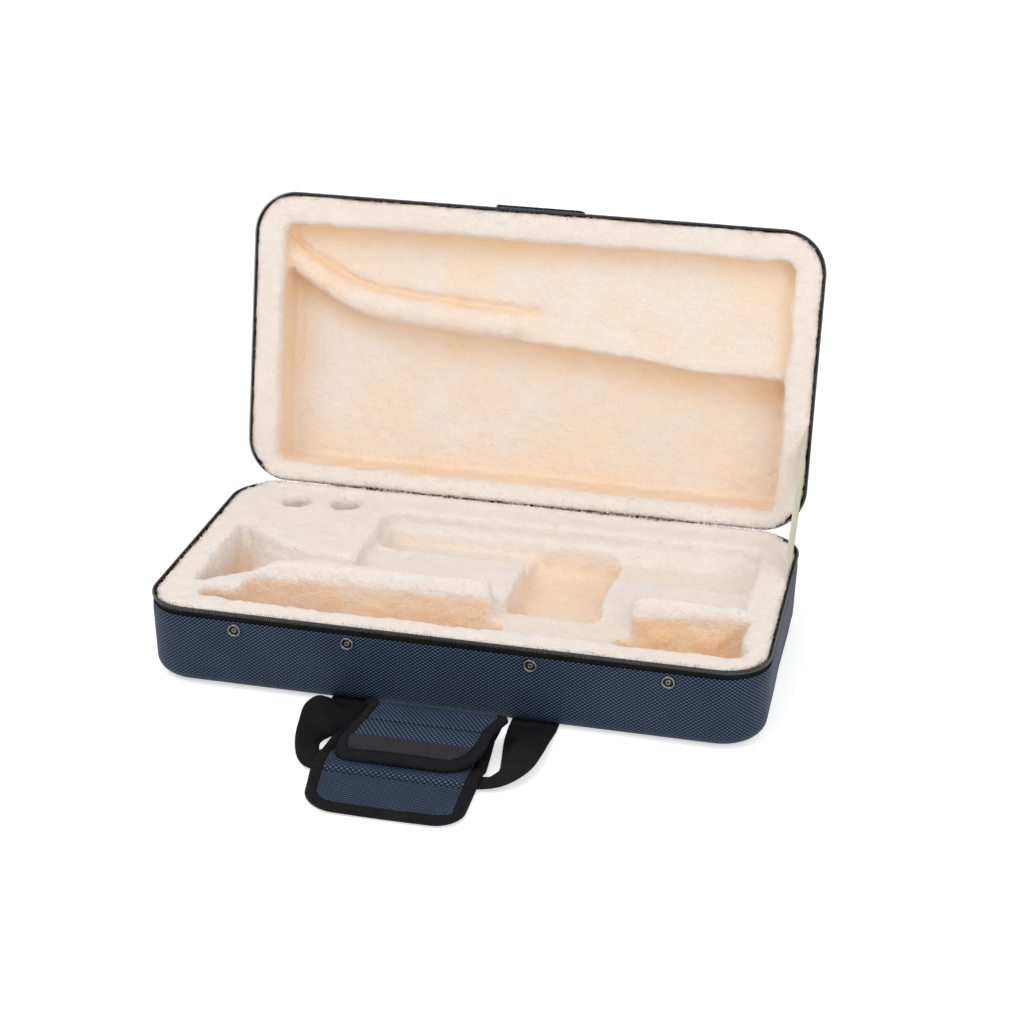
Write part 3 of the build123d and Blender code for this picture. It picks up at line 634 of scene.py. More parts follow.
# ---------------------------------------------------------------- plush beds
def surface_nets(values, origin, step):
    """Points and quads of the surface between negative and positive values on a grid."""
    shape = np.array(values.shape) - 1
    square = ((0, 0), (1, 0), (1, 1), (0, 1))
    total, crossings = np.zeros((*shape, 3)), np.zeros(tuple(shape))
    for axis in range(3):
        first, second = (axis + 1) % 3, (axis + 2) % 3
        for i, j in square:
            low = np.zeros(3, int)
            low[first], low[second] = i, j
            high = low.copy()
            high[axis] = 1
            a, b = (values[tuple(slice(o, o + n) for o, n in zip(offset, shape))] for offset in (low, high))
            cross = (a < 0) != (b < 0)
            total[..., axis] += np.where(cross, a / np.where(cross, a - b, 1), 0)
            total[..., first] += i * cross
            total[..., second] += j * cross
            crossings += cross
    used = crossings > 0
    number = np.full(tuple(shape), -1)
    number[used] = np.arange(used.sum())
    points = (np.argwhere(used) + total[used] / crossings[used][:, None]) * step + origin
    quads = []
    for axis in range(3):
        low, high = [slice(1, -1)] * 3, [slice(1, -1)] * 3
        low[axis], high[axis] = slice(0, -1), slice(1, None)
        a, b = values[tuple(low)] < 0, values[tuple(high)] < 0
        for edges, way in ((a & ~b, 1), (~a & b, -1)):
            corners = []
            for pair in square:
                cell = np.argwhere(edges)
                cell[:, [(axis + 1) % 3, (axis + 2) % 3]] += pair[::way]
                corners.append(number[tuple(cell.T)])
            quads.append(np.stack(corners, axis=1))
    return points, np.concatenate(quads)


def plan_box(x, v, left, right, front, back, corner):
    """Distance to a rounded rectangle in plan, negative inside."""
    qx = np.abs(x - (left + right) / 2) - ((right - left) / 2 - corner)
    qv = np.abs(v - (front + back) / 2) - ((back - front) / 2 - corner)
    return np.hypot(np.maximum(qx, 0), np.maximum(qv, 0)) + np.minimum(np.maximum(qx, qv), 0) - corner


BORDER = 0.7  # depth of the pile's face below the rim
BORDER_WAVE = 0.6
ROLL_RISE = 7.7
ROLLS = (  # rise and fall along x, fall towards the back, and the front edge's line
    ((-210, -178), (10, 30), (-38, -22), (-206, 32), (-61, -50)),
    ((136, 154), (236, 252), (-34, -20), (134, 252), (-56, -39)),
)
POCKETS = (  # left, right, front, back, corner, floor, how lumpy the floor is, and how softly it blends
    (18, 148, -101, -19, 12, 27, 2, 9), (-120, 246, -26, 106, 14, 17, 0, 8), (28, 114, -29, 99, 10, 46, 0, 7),
    (-115, 35, 58, 101, 10, 32, 0, 7), (107, 241, 44, 101, 10, 27, 0, 7),
)
HOLES = ((-214, 106), (-166, 111))
HOLE_RADIUS, HOLE_TAPER, HOLE_DEPTH = 14.5, 0.079, 44
LID_RECESS = (-250, 251, 18, 258, 10)
PLUSH_STEP, FOAM_STEP = 2.5, 6.0  # of the grids that the beds are drawn on
HINGE_RISE = 3.0  # how much higher the pile stands along the hinge
BLADES = 13000
BELL_AXIS_V = -19.0
BELL_AXIS_D = 2.0
BELL_ENDS = (-250.0, 232.0)
BELL_ARC = (-134.8, 152.5, 138.8)  # of the flare: its middle's x, distance from the axis, and radius


def bell_radius(x):
    """Radius of the bell's space at places along its axis: lip, flare and tube."""
    middle_x, middle_r, radius = BELL_ARC
    return middle_r - np.sqrt(radius ** 2 - (np.clip(x, -240, middle_x) - middle_x) ** 2)


def straightened(v, front, back, back_line):
    """Places across the case, stretched so that a back edge along back_line comes to lie at back."""
    return front + (v - front) * (back - front) / (back_line - front)


def troughs(x, v):
    """Distance in plan to the two troughs and the channel that joins them, negative inside."""
    wide_back = np.interp(x, (-206, 32), (-60, -49))
    end_back = np.interp(x, (134, 252), (-54, -37))
    channel = plan_box(x, v, -238, 252, -112, -90, 9)
    wide = plan_box(x, straightened(v, -112, -55, wide_back), -206, 32, -112, -55, 11)
    end = plan_box(x, straightened(v, -112, -45, end_back), 134, 252, -112, -45, 7)
    return smooth_min(smooth_min(channel, wide, 12), end, 12)


def base_top(x, v, lump):
    """Depth of the bed's upper face: under the rim, and above it on the rolls before the instrument."""
    rolls = 0
    for rise, fall, back, ends, front in ROLLS:
        roll = smoothstep(*rise, x) * (1 - smoothstep(*fall, x)) * (1 - smoothstep(*back, v))
        rolls = rolls + roll * smoothstep(0, 11, v - np.interp(x, ends, front))
    return BORDER + BORDER_WAVE * lump - (ROLL_RISE + 2.0 * lump) * rolls


def base_air(x, v, d, lump):
    """Distance to the air over the base's bed, negative in the air."""
    soft = 8.0
    wave = 0.6 + 2.4 * lump
    air = smooth_max(troughs(x, v) + wave, d - 56, soft)
    for left, right, front, back, corner, floor, lumpy, blend in POCKETS:
        pocket = plan_box(x, v, left, right, front, back, corner) + wave
        air = smooth_min(air, smooth_max(pocket, d - floor - lumpy * lump, soft), blend)
    bell = (np.hypot(v - BELL_AXIS_V, d - BELL_AXIS_D) - bell_radius(x) + 0.4 + lump) * 0.85
    bell = np.maximum(bell, np.maximum(BELL_ENDS[0] - x, x - BELL_ENDS[1]))
    air = smooth_min(air, bell, 7)
    for hole_x, hole_v in HOLES:
        hole = np.hypot(x - hole_x, v - hole_v) - (HOLE_RADIUS - HOLE_TAPER * d) + 0.5
        air = smooth_min(air, smooth_max(hole, d - HOLE_DEPTH, 5), 5)
    return smooth_min(air, d - base_top(x, v, lump), 7)


def base_peach_and_shade(p):
    """How peach the base's pile is drawn: painted shade over the troughs, unevenly, and deeper in the
    pockets.
    """
    # painted shade over the troughs' floors and walls, with an uneven strength
    in_trough = smoothstep(3.5, -2.5, troughs(p[:, 0], p[:, 1])) * smoothstep(4, 11, p[:, 2])
    # and painted shade deeper in the pockets, whichever is more
    return np.maximum(in_trough * (0.85 + 0.3 * noise(p, 45, 1)), 0.6 * smoothstep(18, 44, p[:, 2]))


RIDGE_KNOTS = (
    (-250, 214), (-235, 203), (-219, 194), (-202, 184), (-180, 174), (-154, 168), (-121, 165), (-59, 161),
    (-16, 159), (21, 158), (62, 155), (115, 151), (140, 147.5), (162, 145), (250, 144),
)


def ridge_u(x):
    """Distance from the hinge of the ridge's lower lip."""
    knots = np.array(RIDGE_KNOTS)
    return np.interp(x, knots[:, 0], knots[:, 1])


def ridge_roll(x):
    """How far the ridge is a roll of its own, from 1 at its left end to 0 where it runs out."""
    return 1 - smoothstep(-30, 60, x)


def lid_air(x, v, d, lump):
    """Distance to the air over the lid's bed, negative in the air."""
    u = HINGE_Y - v
    recess = plan_box(x, u, *LID_RECESS) + 0.6 + 2.0 * lump
    q = (u - ridge_u(x)) * 0.93 - 1.6 * lump
    roll = ridge_roll(x)
    # the lower compartment reaches under the ridge's lip
    below = smooth_max(q + 0.16 * (d - 17), d - 52, 9)
    # the roll: a bolster along the ridge, with a crease above it
    bolster = np.hypot(q - 12, (d - 29) * 0.95) - 13.5 - 0.8 * lump
    crease = 26 + 6 * np.exp(-(((q - 26) / 5) ** 2)) * roll
    shelf = crease * roll + (1 - roll) * (18 + 4 * smoothstep(2, 26, q)) + 2.5 * smoothstep(30, 80, q)
    above = np.maximum(d - (shelf + 1.5 * lump), -(q + 2))
    above = smooth_max(above, -(bolster + (1 - roll) * 60), 5)
    recess_air = smooth_max(recess, smooth_min(below, above, 5), 6)
    return smooth_min(recess_air, d - BORDER - BORDER_WAVE * lump, 9)


def lid_peach_and_shade(p):
    """How peach the lid's pile is drawn: painted shade near the recess's edges, along its top, under the
    ridge's lip and in the crease above the roll, over an uneven peach tone of the pile's own, all inside the
    recess.
    """
    u = HINGE_Y - p[:, 1]
    q = u - ridge_u(p[:, 0])
    edge = -plan_box(p[:, 0], u, *LID_RECESS)
    # the peach shows only deeper than 7 mm, inside the recess, as painted shade there
    inside = smoothstep(7, 15, p[:, 2])
    # an uneven peach tone of the pile's own
    tone = 0.16 + 0.26 * noise(p, 70, 1) + 0.22 * noise(p, 26, 2)
    # painted shade near the recess's edges and along its top edge
    tone = tone + 0.70 * np.exp(-np.maximum(edge, 0) / 8) + 0.30 * smoothstep(226, 250, u)
    # painted shade on the lower floor under the ridge's lip
    tone = tone + 0.60 * smoothstep(-46, -6, q) * smoothstep(24, 34, p[:, 2])
    # painted shade in the crease above the roll
    tone = tone + 0.55 * np.exp(-(((q - 26.5) / 2.2) ** 2)) * ridge_roll(p[:, 0])
    return 0.12 + 0.88 * np.clip(tone, 0, 1) * inside


def outline_distance(x, v, d):
    """Distance in plan to a half's walls, negative inside."""
    return plan_box(x, v, -HALF_LENGTH, HALF_LENGTH, -HALF_WIDTH, HALF_WIDTH, CORNER) + d * SLOPE


def bed_grid(step, deepest):
    """Grid over a half from just above its rim: its low corner, the grids of x, v and d, and soft lumps."""
    low = np.array([-287.0, -151.0, -13.0])
    spans = (574.0, 302.0, deepest - low[2])
    axes = [start + step * np.arange(int(span / step) + 2) for start, span in zip(low, spans)]
    x, v, d = np.meshgrid(*axes, indexing="ij")
    flat = np.stack([x.ravel(), v.ravel(), d.ravel()], axis=1)
    lump = (0.5 * noise(flat, 36, 0) + 0.5 * noise(flat, 14, 1)).reshape(x.shape)
    return low, x, v, d, lump


def plush_bed(half, air, peach_and_shade_of, deepest, node):
    """Padded lining: one soft surface over the border and into the pockets, with a rolled outer edge."""
    low, x, v, d, lump = bed_grid(PLUSH_STEP, deepest + 8)
    back = smoothstep(128, 140, v)
    wall = outline_distance(x, v, d) + drawn_in(half, d) - d * SLOPE
    wall = wall + 1.8 + 2.3 * smoothstep(0.5, 5, d) - 0.4 * back + 0.4 * lump
    bed = -air(x, v, d + HINGE_RISE * back, lump)
    points, quads = surface_nets(smooth_max(bed, wall, 6 - 3 * back), low, PLUSH_STEP)
    if half == "base":
        quads = quads[:, ::-1]
    # the skirt under the border ends where nothing shows it
    centre = points[quads].mean(axis=1)
    edge = outline_distance(*centre.T)
    quads = quads[((centre[:, 2] < 9) | (edge < -8)) & (centre[:, 2] < deepest + 2)]
    used = np.unique(quads)
    renumber = np.full(len(points), -1)
    renumber[used] = np.arange(len(used))
    points, quads = points[used], renumber[quads]
    obj = make_mesh(f"{half}_plush", place(half, points), quads, plush)
    normals = mesh_normals(obj)
    rough = np.random.default_rng(5).normal(0, 0.22, len(points))
    fluff = 0.75 * noise(points, 8.5, 2) + 0.4 * noise(points, 4.2, 3)
    fluff = fluff * smoothstep(-6, 3, points[:, 2]) + rough
    set_points(obj, mesh_points(obj) + normals * fluff[:, None])
    # how peach each point is: partly its own tone, partly painted shade
    peach_and_shade = np.clip(peach_and_shade_of(points), 0, 1)
    set_peach_and_shade(obj, peach_and_shade)
    tufts(half, points, normals, peach_and_shade)
    apply_modifier(obj, "SOLIDIFY", thickness=1.8 * MM, offset=-1.0)
    dress(obj, half, "plush", *node)
    give_way(obj, half)


# Stores how peach each point is: partly the pile's own tone, partly painted shade.
def set_peach_and_shade(obj, peach_and_shade):
    obj.data.attributes.new("peach_and_shade", "FLOAT", "POINT").data.foreach_set("value", peach_and_shade)


def in_half(half, p):
    """Points x, y, z of the row's frame as x, v, d of a half, in mm."""
    if half == "base":
        return np.stack([p[:, 0], p[:, 1], RIM_Z - p[:, 2]], axis=1)
    y, z = p[:, 1] - HINGE_Y, p[:, 2] - RIM_Z
    v = HINGE_Y - UP_LID[0] * y - UP_LID[1] * z
    return np.stack([p[:, 0], v, INTO_LID[0] * y + INTO_LID[1] * z], axis=1)


def tufts(half, points, normals, peach_and_shade):
    """Loose pile: small bent blades, thick along the outer edge and the lips, thin elsewhere."""
    random = np.random.default_rng(21)
    edge = outline_distance(*points.T)
    level = 1 - np.abs(normals @ turned(half, (0, 0, 1)))
    lip = smoothstep(0.06, 0.3, level) * (points[:, 2] < 9)
    weight = 0.008 + 2.6 * smoothstep(-9, -3, edge) * (points[:, 2] < 6) + 0.25 * lip
    chosen = random.choice(len(points), BLADES, p=weight / weight.sum())
    at, normal = place(half, points[chosen]), normals[chosen]
    root = at + random.normal(0, 1.1, (BLADES, 3))
    root -= normal * (np.einsum("ij,ij->i", root - at, normal) + 0.8)[:, None]
    side = unit(np.cross(normal, random.normal(0, 1, (BLADES, 3))))
    lean = unit(np.cross(side, normal) + 0.5 * normal)
    length = random.uniform(2.2, 4.2, BLADES)[:, None]
    width = random.uniform(0.25, 0.45, BLADES)[:, None]
    bend = np.cross(side, lean) * length * random.uniform(-0.35, 0.35, (BLADES, 1))
    tip = root + lean * length + bend
    middle = root + lean * length * 0.55
    blades = np.stack([root - side * width, root + side * width, middle + side * width * 0.8,
                       middle - side * width * 0.8, tip], axis=1)
    # no blade hangs over the zipper
    tip = in_half(half, tip)
    clear = outline_distance(*tip.T) < np.where(tip[:, 2] < -0.6, -0.3, -2.4)
    blades, chosen = blades[clear], chosen[clear]
    first = 5 * np.arange(len(chosen))[:, None]
    faces = (first + (0, 1, 2, 3)).tolist() + (first + (3, 2, 4)).tolist()
    pile = make_mesh(f"{half}_pile", blades.reshape(-1, 3), faces, plush)
    # the blades take their roots' peach and painted shade
    set_peach_and_shade(pile, np.repeat(peach_and_shade[chosen], 5))
    dress(pile, half, "plush")
    give_way(pile, half)


def give_way(obj, half):
    """Gives a lining a mesh of its own. The place and way in which the other half's rim would press its soft
    rim in as the lid closes are worked out, but not used.
    """
    anchor = tuple(float(a) * MM for a in place(half, (0, 0, 56.0)))
    axis = tuple(float(a) for a in place(half, (0, 0, 55.0)) - place(half, (0, 0, 56.0)))
    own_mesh(obj)


def foam(half, air, depth, node):
    """Foam under a lining, a little below the plush all over."""
    low, x, v, d, lump = bed_grid(FOAM_STEP, HALF_DEPTH + 8)
    wall = outline_distance(x, v, d) + 8 + drawn_in(half, d) - d * SLOPE
    solid = smooth_max(smooth_max(3.4 - air(x, v, d, lump), wall, 4), d - depth, 14)
    points, quads = surface_nets(solid, low, FOAM_STEP)
    if half == "base":
        quads = quads[:, ::-1]
    obj = make_mesh(f"{half}_foam", place(half, points), quads, foam_look)
    dress(obj, half, "foam", node)


plush_bed("base", base_air, base_peach_and_shade, 60, ("base_lining", "base_ridge_rolls"))
plush_bed("lid", lid_air, lid_peach_and_shade, 56, ("lid_lining",))
foam("base", base_air, HALF_DEPTH - 3, "base_foam_core")
foam("lid", lid_air, HALF_DEPTH - 5, "lid_foam_core")


# ---------------------------------------------------------------- fabric hinge
def hinge_cloth():
    """Strip sewn to the back walls of both halves, bent where they meet."""
    depths = (TAPE_SHOWN + 1.5, 6.0, 3.0, 1.2, 0.5)
    down = [("base", d) for d in depths] + [(None, 0.0)] + [("lid", d) for d in reversed(depths)]
    places = np.linspace(-HINGE_HALF, HINGE_HALF, 95)
    outer, inner = [], []
    for half, d in down:
        for inset, row in ((-0.1, outer), (1.1, inner)):
            if half is None:
                row.append((HINGE_Y + 0.25 - inset * 0.6, RIM_Z - 0.2 + inset * 0.5))
            else:
                row.append(tuple(place(half, (0.0, HALF_WIDTH - inset - drawn_in(half, d), d))[1:]))
    section = np.array(outer + inner[::-1])
    rings = np.array([[(x, y, z) for y, z in section] for x in places])
    obj = sweep("fabric_hinge", black_tape, rings, places)
    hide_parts("base_hinge_strip", "lid_hinge_strip")
    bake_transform(obj)


hinge_cloth()


# ---------------------------------------------------------------- stay strap
STAY_FROM_HINGE = 83.5
STAY_X = HALF_LENGTH - 5.6
STAY_TAIL = 22.0


def stay():
    """Cream tape from the base's side to the lid's, taut with the lid open."""
    base_end = np.array([HINGE_Y - STAY_FROM_HINGE, RIM_Z])
    lid_end = np.array([HINGE_Y + UP_LID[0] * STAY_FROM_HINGE, RIM_Z + UP_LID[1] * STAY_FROM_HINGE])
    length = np.linalg.norm(lid_end - base_end)
    way = (lid_end - base_end) / length
    normal = np.array([-way[1], way[0]])
    edge = [(-12, 0.5), (-6, 0.6), (0, 0.6), (6, 0.6), (12, 0.5)]
    rings, along = [], []
    for t in np.linspace(-STAY_TAIL, length + STAY_TAIL, 60):
        free = sin(pi * np.clip(t / length, 0, 1))
        middle = base_end + way * t
        ring = []
        for w, h in [(w, -h) for w, h in edge] + edge[::-1]:
            y, z = middle + normal * w * (1 - 0.05 * free)
            turn = 0.13 * w * smoothstep(0, 0.25, free)
            ring.append((STAY_X - free * (1 - (w / 12) ** 2 * 0.6) + h - turn, y, z))
        rings.append(ring)
        along.append(t)
    obj = sweep("stay_tape_right", stay_tape, rings, along)
    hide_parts("stay_strap_right")
    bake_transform(obj)


stay()


# ---------------------------------------------------------------- handle
HANDLE_Y = -148.3
WRAP_X = -8.0
WRAP_HALF = 64.0
PAD = 4.0
BIND = 0.9
BIND_WIDTH = 9.0
WRAP_LIFT = 1.2
FOLD_REACH = 41.7
FOLD_MIDDLE = 12.5 - PAD / 2
FALL = radians(8.0)
FLAP_FALL = radians(13.0)
LOWER_REACH = 113.7
WRAP_FLAT = LOWER_REACH - FOLD_REACH
WRAP_ARC = (pi + FALL) * FOLD_MIDDLE
CREASE_RUN = 20.0  # from the fold to the upper flap's crease
WRAP_RUN = WRAP_FLAT + WRAP_ARC + CREASE_RUN
UPPER_LENGTH = 40.0
LOWER_LENGTH = 57.0
CREASE_GAP = 0.3
STRAP = 2.2
FOLD_SHIFT = (5.5, 3.6)  # how far the wrap's fold has sprung back and up


def smooth_path(knots, count):
    """Even samples on a smooth curve through knots, whose columns may be more than places."""
    knots = np.asarray(knots, float)
    padded = np.vstack([2 * knots[0] - knots[1], knots, 2 * knots[-1] - knots[-2]])
    fine = []
    for i in range(len(knots) - 1):
        a, b, c, d = padded[i:i + 4]
        for t in np.arange(24) / 24:
            cubic = (3 * b - a - 3 * c + d) * t ** 3
            fine.append(0.5 * (2 * b + (c - a) * t + (2 * a - 5 * b + 4 * c - d) * t * t + cubic))
    fine = np.array(fine + [knots[-1]])
    run = np.concatenate([[0], np.cumsum(np.linalg.norm(np.diff(fine[:, :3], axis=0), axis=1))])
    even = np.linspace(0, run[-1], count)
    return np.stack([np.interp(even, run, column) for column in fine.T], axis=1), even


def strap(name, knots, count):
    """Flat webbing along knots of x, y, z, width, roll in degrees and height of a fold along its middle.

    Returns the object and its length.
    """
    path, along = smooth_path(knots, count)
    points = path[:, :3]
    tangent = unit(np.gradient(points, axis=0))
    level = unit(np.cross(np.array([0, 0, 1.0]), tangent))
    upright = np.cross(tangent, level)
    roll = np.radians(path[:, 4])[:, None]
    across = level * np.cos(roll) + upright * np.sin(roll)
    face = upright * np.cos(roll) - level * np.sin(roll)
    half, fold = path[:, 3:4] / 2, path[:, 5:6]
    edge = [(-1, -0.4)] + [(w, -1) for w in (-0.97, -0.6, -0.25, 0, 0.25, 0.6, 0.97)] + [(1, -0.4)]
    ring = []
    for w, k in edge + [(w, -k) for w, k in reversed(edge)]:
        ring.append(points + across * half * w + face * (STRAP / 2 * k + fold * (0.5 - abs(w))))
    return sweep(name, webbing, np.stack(ring, axis=1), along), along[-1]


HANDLE_KNOTS = [
    (-83, -148, 1.6, 42, 0, 0), (-84, -155, 4.5, 42, -11, 0), (-86.5, -168, 9, 42, -20, 0),
    (-91, -184, 13.5, 40, -33, 0), (-96, -202, 15.5, 36, -46, 0), (-98, -219, 13.5, 28, -52, 0),
    (-96, -233, 9, 25, -38, 0), (-90, -244, 3.4, 23, -12, 0), (-80, -248, 2.0, 22, -3, 0),
    (-52, -247, 1.8, 20, 0, 0), (-8, -246, 1.8, 20, 0, 0), (36, -246, 1.8, 20, 0, 0),
    (56, -247, 2.6, 20, -4, 1), (71, -243, 6.5, 24, -14, 6), (81, -225, 9.5, 31, -20, 10),
    (82, -199, 9, 36, -14, 10), (81, -171, 5, 40, -6, 5), (81, -148, 1.6, 42, 0, 0),
]
loop, loop_length = strap("handle_strap", HANDLE_KNOTS, 170)
dress(loop, "handle", "webbing", "handle_webbing")
for side, leg in (("left", -83), ("right", 81)):
    ends = [(leg, y, lift, 42, 0, 0) for y, lift in ((-149, 1.45), (-134, 1.4), (-119, 1.4), (-103, 1.4))]
    root, root_length = strap(f"strap_root_{side}", ends, 16)
    dress(root, "base", "webbing", "base_handle_roots")


def wrap_middle(t):
    """Reach, height and direction along the wrap's middle surface, t mm from the lower crease."""
    middle_z = WRAP_LIFT + PAD / 2
    if t <= WRAP_FLAT:
        return LOWER_REACH - t, middle_z, pi
    angle = min((t - WRAP_FLAT) / FOLD_MIDDLE, pi + FALL)
    run = max(t - WRAP_FLAT - WRAP_ARC, 0.0)
    reach = FOLD_REACH - FOLD_MIDDLE * sin(angle) + run * cos(FALL)
    return reach, middle_z + FOLD_MIDDLE * (1 - cos(angle)) - run * sin(FALL), pi - angle


def wrap_point(x, t, h):
    """Point of the wrap at x from its middle, t along its section and h out of its middle surface."""
    reach, z, angle = wrap_middle(t)
    drift = np.interp(t, (0, 30, 57, 76, 106, WRAP_RUN), (-5, -4.5, -4.4, -1, 14.5, 8))
    narrow = np.interp(t, (0, 30, 57, 76, 106, WRAP_RUN), (1.10, 1.115, 1.08, 1.0, 0.95, 0.91))
    # the pad rides over the webbing near its front crease, and its fold stands up
    over = 2.6 * smoothstep(1, 6, t) * (1 - smoothstep(24, 34, t))
    stand = smoothstep(50, 100, t)
    y = HANDLE_Y - reach - sin(angle) * h + FOLD_SHIFT[0] * stand
    return WRAP_X + drift + x * narrow, y, z - cos(angle) * h + over + FOLD_SHIFT[1] * stand


def flap_point(which, x, t, h):
    """Point of a flap at x from its own middle, t from its crease and h over its middle surface."""
    if which == "lower":
        lift = 1.2 * smoothstep(10, LOWER_LENGTH, t) * (x / WRAP_HALF) ** 2
        origin, fall = (LOWER_REACH, WRAP_LIFT + PAD / 2 + lift), 0.0
        drift = np.interp(t, (0, 34, LOWER_LENGTH), (-5, -1.5, 1.5))
        narrow = np.interp(t, (0, 34, LOWER_LENGTH), (1.10, 1.055, 1.03))
    else:
        bound = PAD / 2 + BIND
        reach = FOLD_REACH + (FOLD_MIDDLE + bound) * sin(FALL) + CREASE_RUN * cos(FALL)
        z = WRAP_LIFT + PAD / 2 + FOLD_MIDDLE + (FOLD_MIDDLE + bound) * cos(FALL) - CREASE_RUN * sin(FALL)
        origin = (reach - bound * sin(FLAP_FALL), z - bound * cos(FLAP_FALL))
        # the flap bends over its length, and its corners droop
        fall = FLAP_FALL + radians(6.0) * (t / UPPER_LENGTH - 0.5)
        fall += radians(7.0) * smoothstep(8, UPPER_LENGTH, t) * (x / WRAP_HALF) ** 2
        drift, narrow = 8 - 9 * t / UPPER_LENGTH, 0.91 + 0.11 * t / UPPER_LENGTH
        settle = 1 - 0.9 * t / UPPER_LENGTH
        origin = (origin[0] - FOLD_SHIFT[0] * settle, origin[1] + FOLD_SHIFT[1] * settle)
    y = HANDLE_Y - origin[0] - t * cos(fall) + h * sin(fall) * (-1 if which == "upper" else 1)
    return WRAP_X + drift + x * narrow, y, origin[1] - t * sin(fall) + h * cos(fall)


def padded_grid(name, point, extents, ts, puff, body, node):
    """Closed pad whose faces stand off its middle surface by half its thickness and a soft puff."""
    columns = 33
    top, bottom, uv = [], [], []
    for t in ts:
        left, right = extents(t)
        for x in np.linspace(left + 1, right - 1, columns):
            side = min(1.0, (min(x - left, right - x) - 1) / 7)
            end = min(1.0, min(t - ts[0], ts[-1] - t) / 7)
            soft = sin(side * pi / 2) * sin(end * pi / 2)
            wrinkle = 0.4 * soft * float(noise([(x, t * 1.6, 7.0)], 17, 2)[0])
            rim = PAD / 2 * (0.55 + 0.45 * min(1.0, side * 2.5) * min(1.0, end * 2.5))
            top.append(point(x, t, rim + puff * soft + wrinkle))
            bottom.append(point(x, t, -rim - 0.25 * puff * soft))
            uv.append((x, t))
    obj = make_mesh(name, top + bottom, slab_faces(len(ts), columns), navy, uv + uv)
    fix_normals(obj)
    dress(obj, body, "navy_weave", node)


def edge_tape(name, places, point, body, node):
    """Folded tape round a pad's edge. places gives x, t, and the way inwards in x and t."""
    h = PAD / 2
    profile = [
        (BIND_WIDTH, h * 0.95), (BIND_WIDTH, h + 0.8), (BIND_WIDTH * 0.5, h + 1.0), (1.2, h + 0.85),
        (-0.4, h * 0.75), (-BIND, 0.0), (-0.4, -h * 0.75), (1.2, -h - 0.7),
        (BIND_WIDTH * 0.5, -h - 0.85), (BIND_WIDTH, -h - 0.7), (BIND_WIDTH, -h * 0.95),
        (1.6, -h * 0.9), (0.6, 0.0), (1.6, h * 0.9),
    ]
    rings, along, last = [], [0.0], None
    for x, t, way_x, way_t in places:
        wave = 0.35 * float(noise([(x, t, 3.0)], 11, 3)[0])
        inwards = [(i + (wave if i > 5 else 0), k) for i, k in profile]
        rings.append([point(x + way_x * i, t + way_t * i, k) for i, k in inwards])
        if last is not None:
            along.append(along[-1] + hypot(x - last[0], t - last[1]))
        last = (x, t)
    dress(sweep(name, binding, rings, along), body, "binding", node)


middle_ts = np.linspace(CREASE_GAP, WRAP_RUN - CREASE_GAP, 64)
padded_grid("grip_pad", wrap_point, lambda t: (-WRAP_HALF, WRAP_HALF), middle_ts, 0.5, "handle", "wrap_pad")
for side, label in ((-1, "left"), (1, "right")):
    places = [(side * WRAP_HALF, t, -side, 0.0) for t in middle_ts]
    edge_tape(f"grip_edge_{label}", places, wrap_point, "handle", f"wrap_binding_{label}")


def corner_drop(t, length, corner):
    """How far a rounded corner draws a flap's side in, t from its crease."""
    over = max(0.0, t - (length - corner))
    return corner - np.sqrt(max(corner ** 2 - over ** 2, 0.0))


def flap(which, length, corners, puff):
    """Padded flap and its bound edge, with its own rounding at the left and right corner."""
    left, right = corners
    tight = min(corners)

    def extents(t):
        return -WRAP_HALF + corner_drop(t, length, left), WRAP_HALF - corner_drop(t, length, right)

    def point(x, t, h):
        return flap_point(which, x, t, h)

    def rounding(side, corner):
        """Places round a corner, from the flap's side to its front."""
        places = []
        for angle in np.arange(1, 13) * pi / 26:
            x, t = side * (WRAP_HALF - corner * (1 - cos(angle))), length - corner * (1 - sin(angle))
            places.append((x, t, -side * cos(angle), -sin(angle)))
        return places

    bends = length - tight + tight * np.sin(np.linspace(0.08, 0.93, 14) * pi / 2)
    ts = np.concatenate([np.linspace(CREASE_GAP, length - tight, 16), bends])
    padded_grid(f"{which}_cushion", point, extents, ts, puff, f"{which}_flap", f"{which}_flap_pad")
    places = [(-WRAP_HALF, t, 1.0, 0.0) for t in np.linspace(CREASE_GAP, length - left, 12)]
    places += rounding(-1, left)
    places += [(x, length, 0.0, -1.0) for x in np.linspace(left - WRAP_HALF, WRAP_HALF - right, 30)]
    places += rounding(1, right)[::-1]
    places += [(WRAP_HALF, t, -1.0, 0.0) for t in np.linspace(length - right, CREASE_GAP, 12)]
    edge_tape(f"{which}_edge", places, point, f"{which}_flap", f"{which}_flap_binding")


UPPER_CORNERS = (18.0, 33.0)  # how rounded the upper flap's front corners are, left and right
flap("upper", UPPER_LENGTH, UPPER_CORNERS, 0.5)
flap("lower", LOWER_LENGTH, (23.0, 24.0), 0.7)


def fuzzy(name, place_of, rows, columns, thickness, body, node):
    """Loop tape: a closed slab whose face is a field of small uneven loops.

    place_of gives the point at 0 to 1 across, 0 to 1 along and a height.
    """
    random = np.random.default_rng(8)
    top, bottom = [], []
    for a in np.linspace(0, 1, rows):
        for b in np.linspace(0, 1, columns):
            rim = min(a, 1 - a) * rows < 1 or min(b, 1 - b) * columns < 1
            height = thickness * (0.4 if rim else random.uniform(0.7, 1.35))
            top.append(place_of(a, b, height))
            bottom.append(place_of(a, b, 0.0))
    obj = make_mesh(name, top + bottom, slab_faces(rows, columns), fastener)
    fix_normals(obj)
    dress(obj, body, "fastener", node)


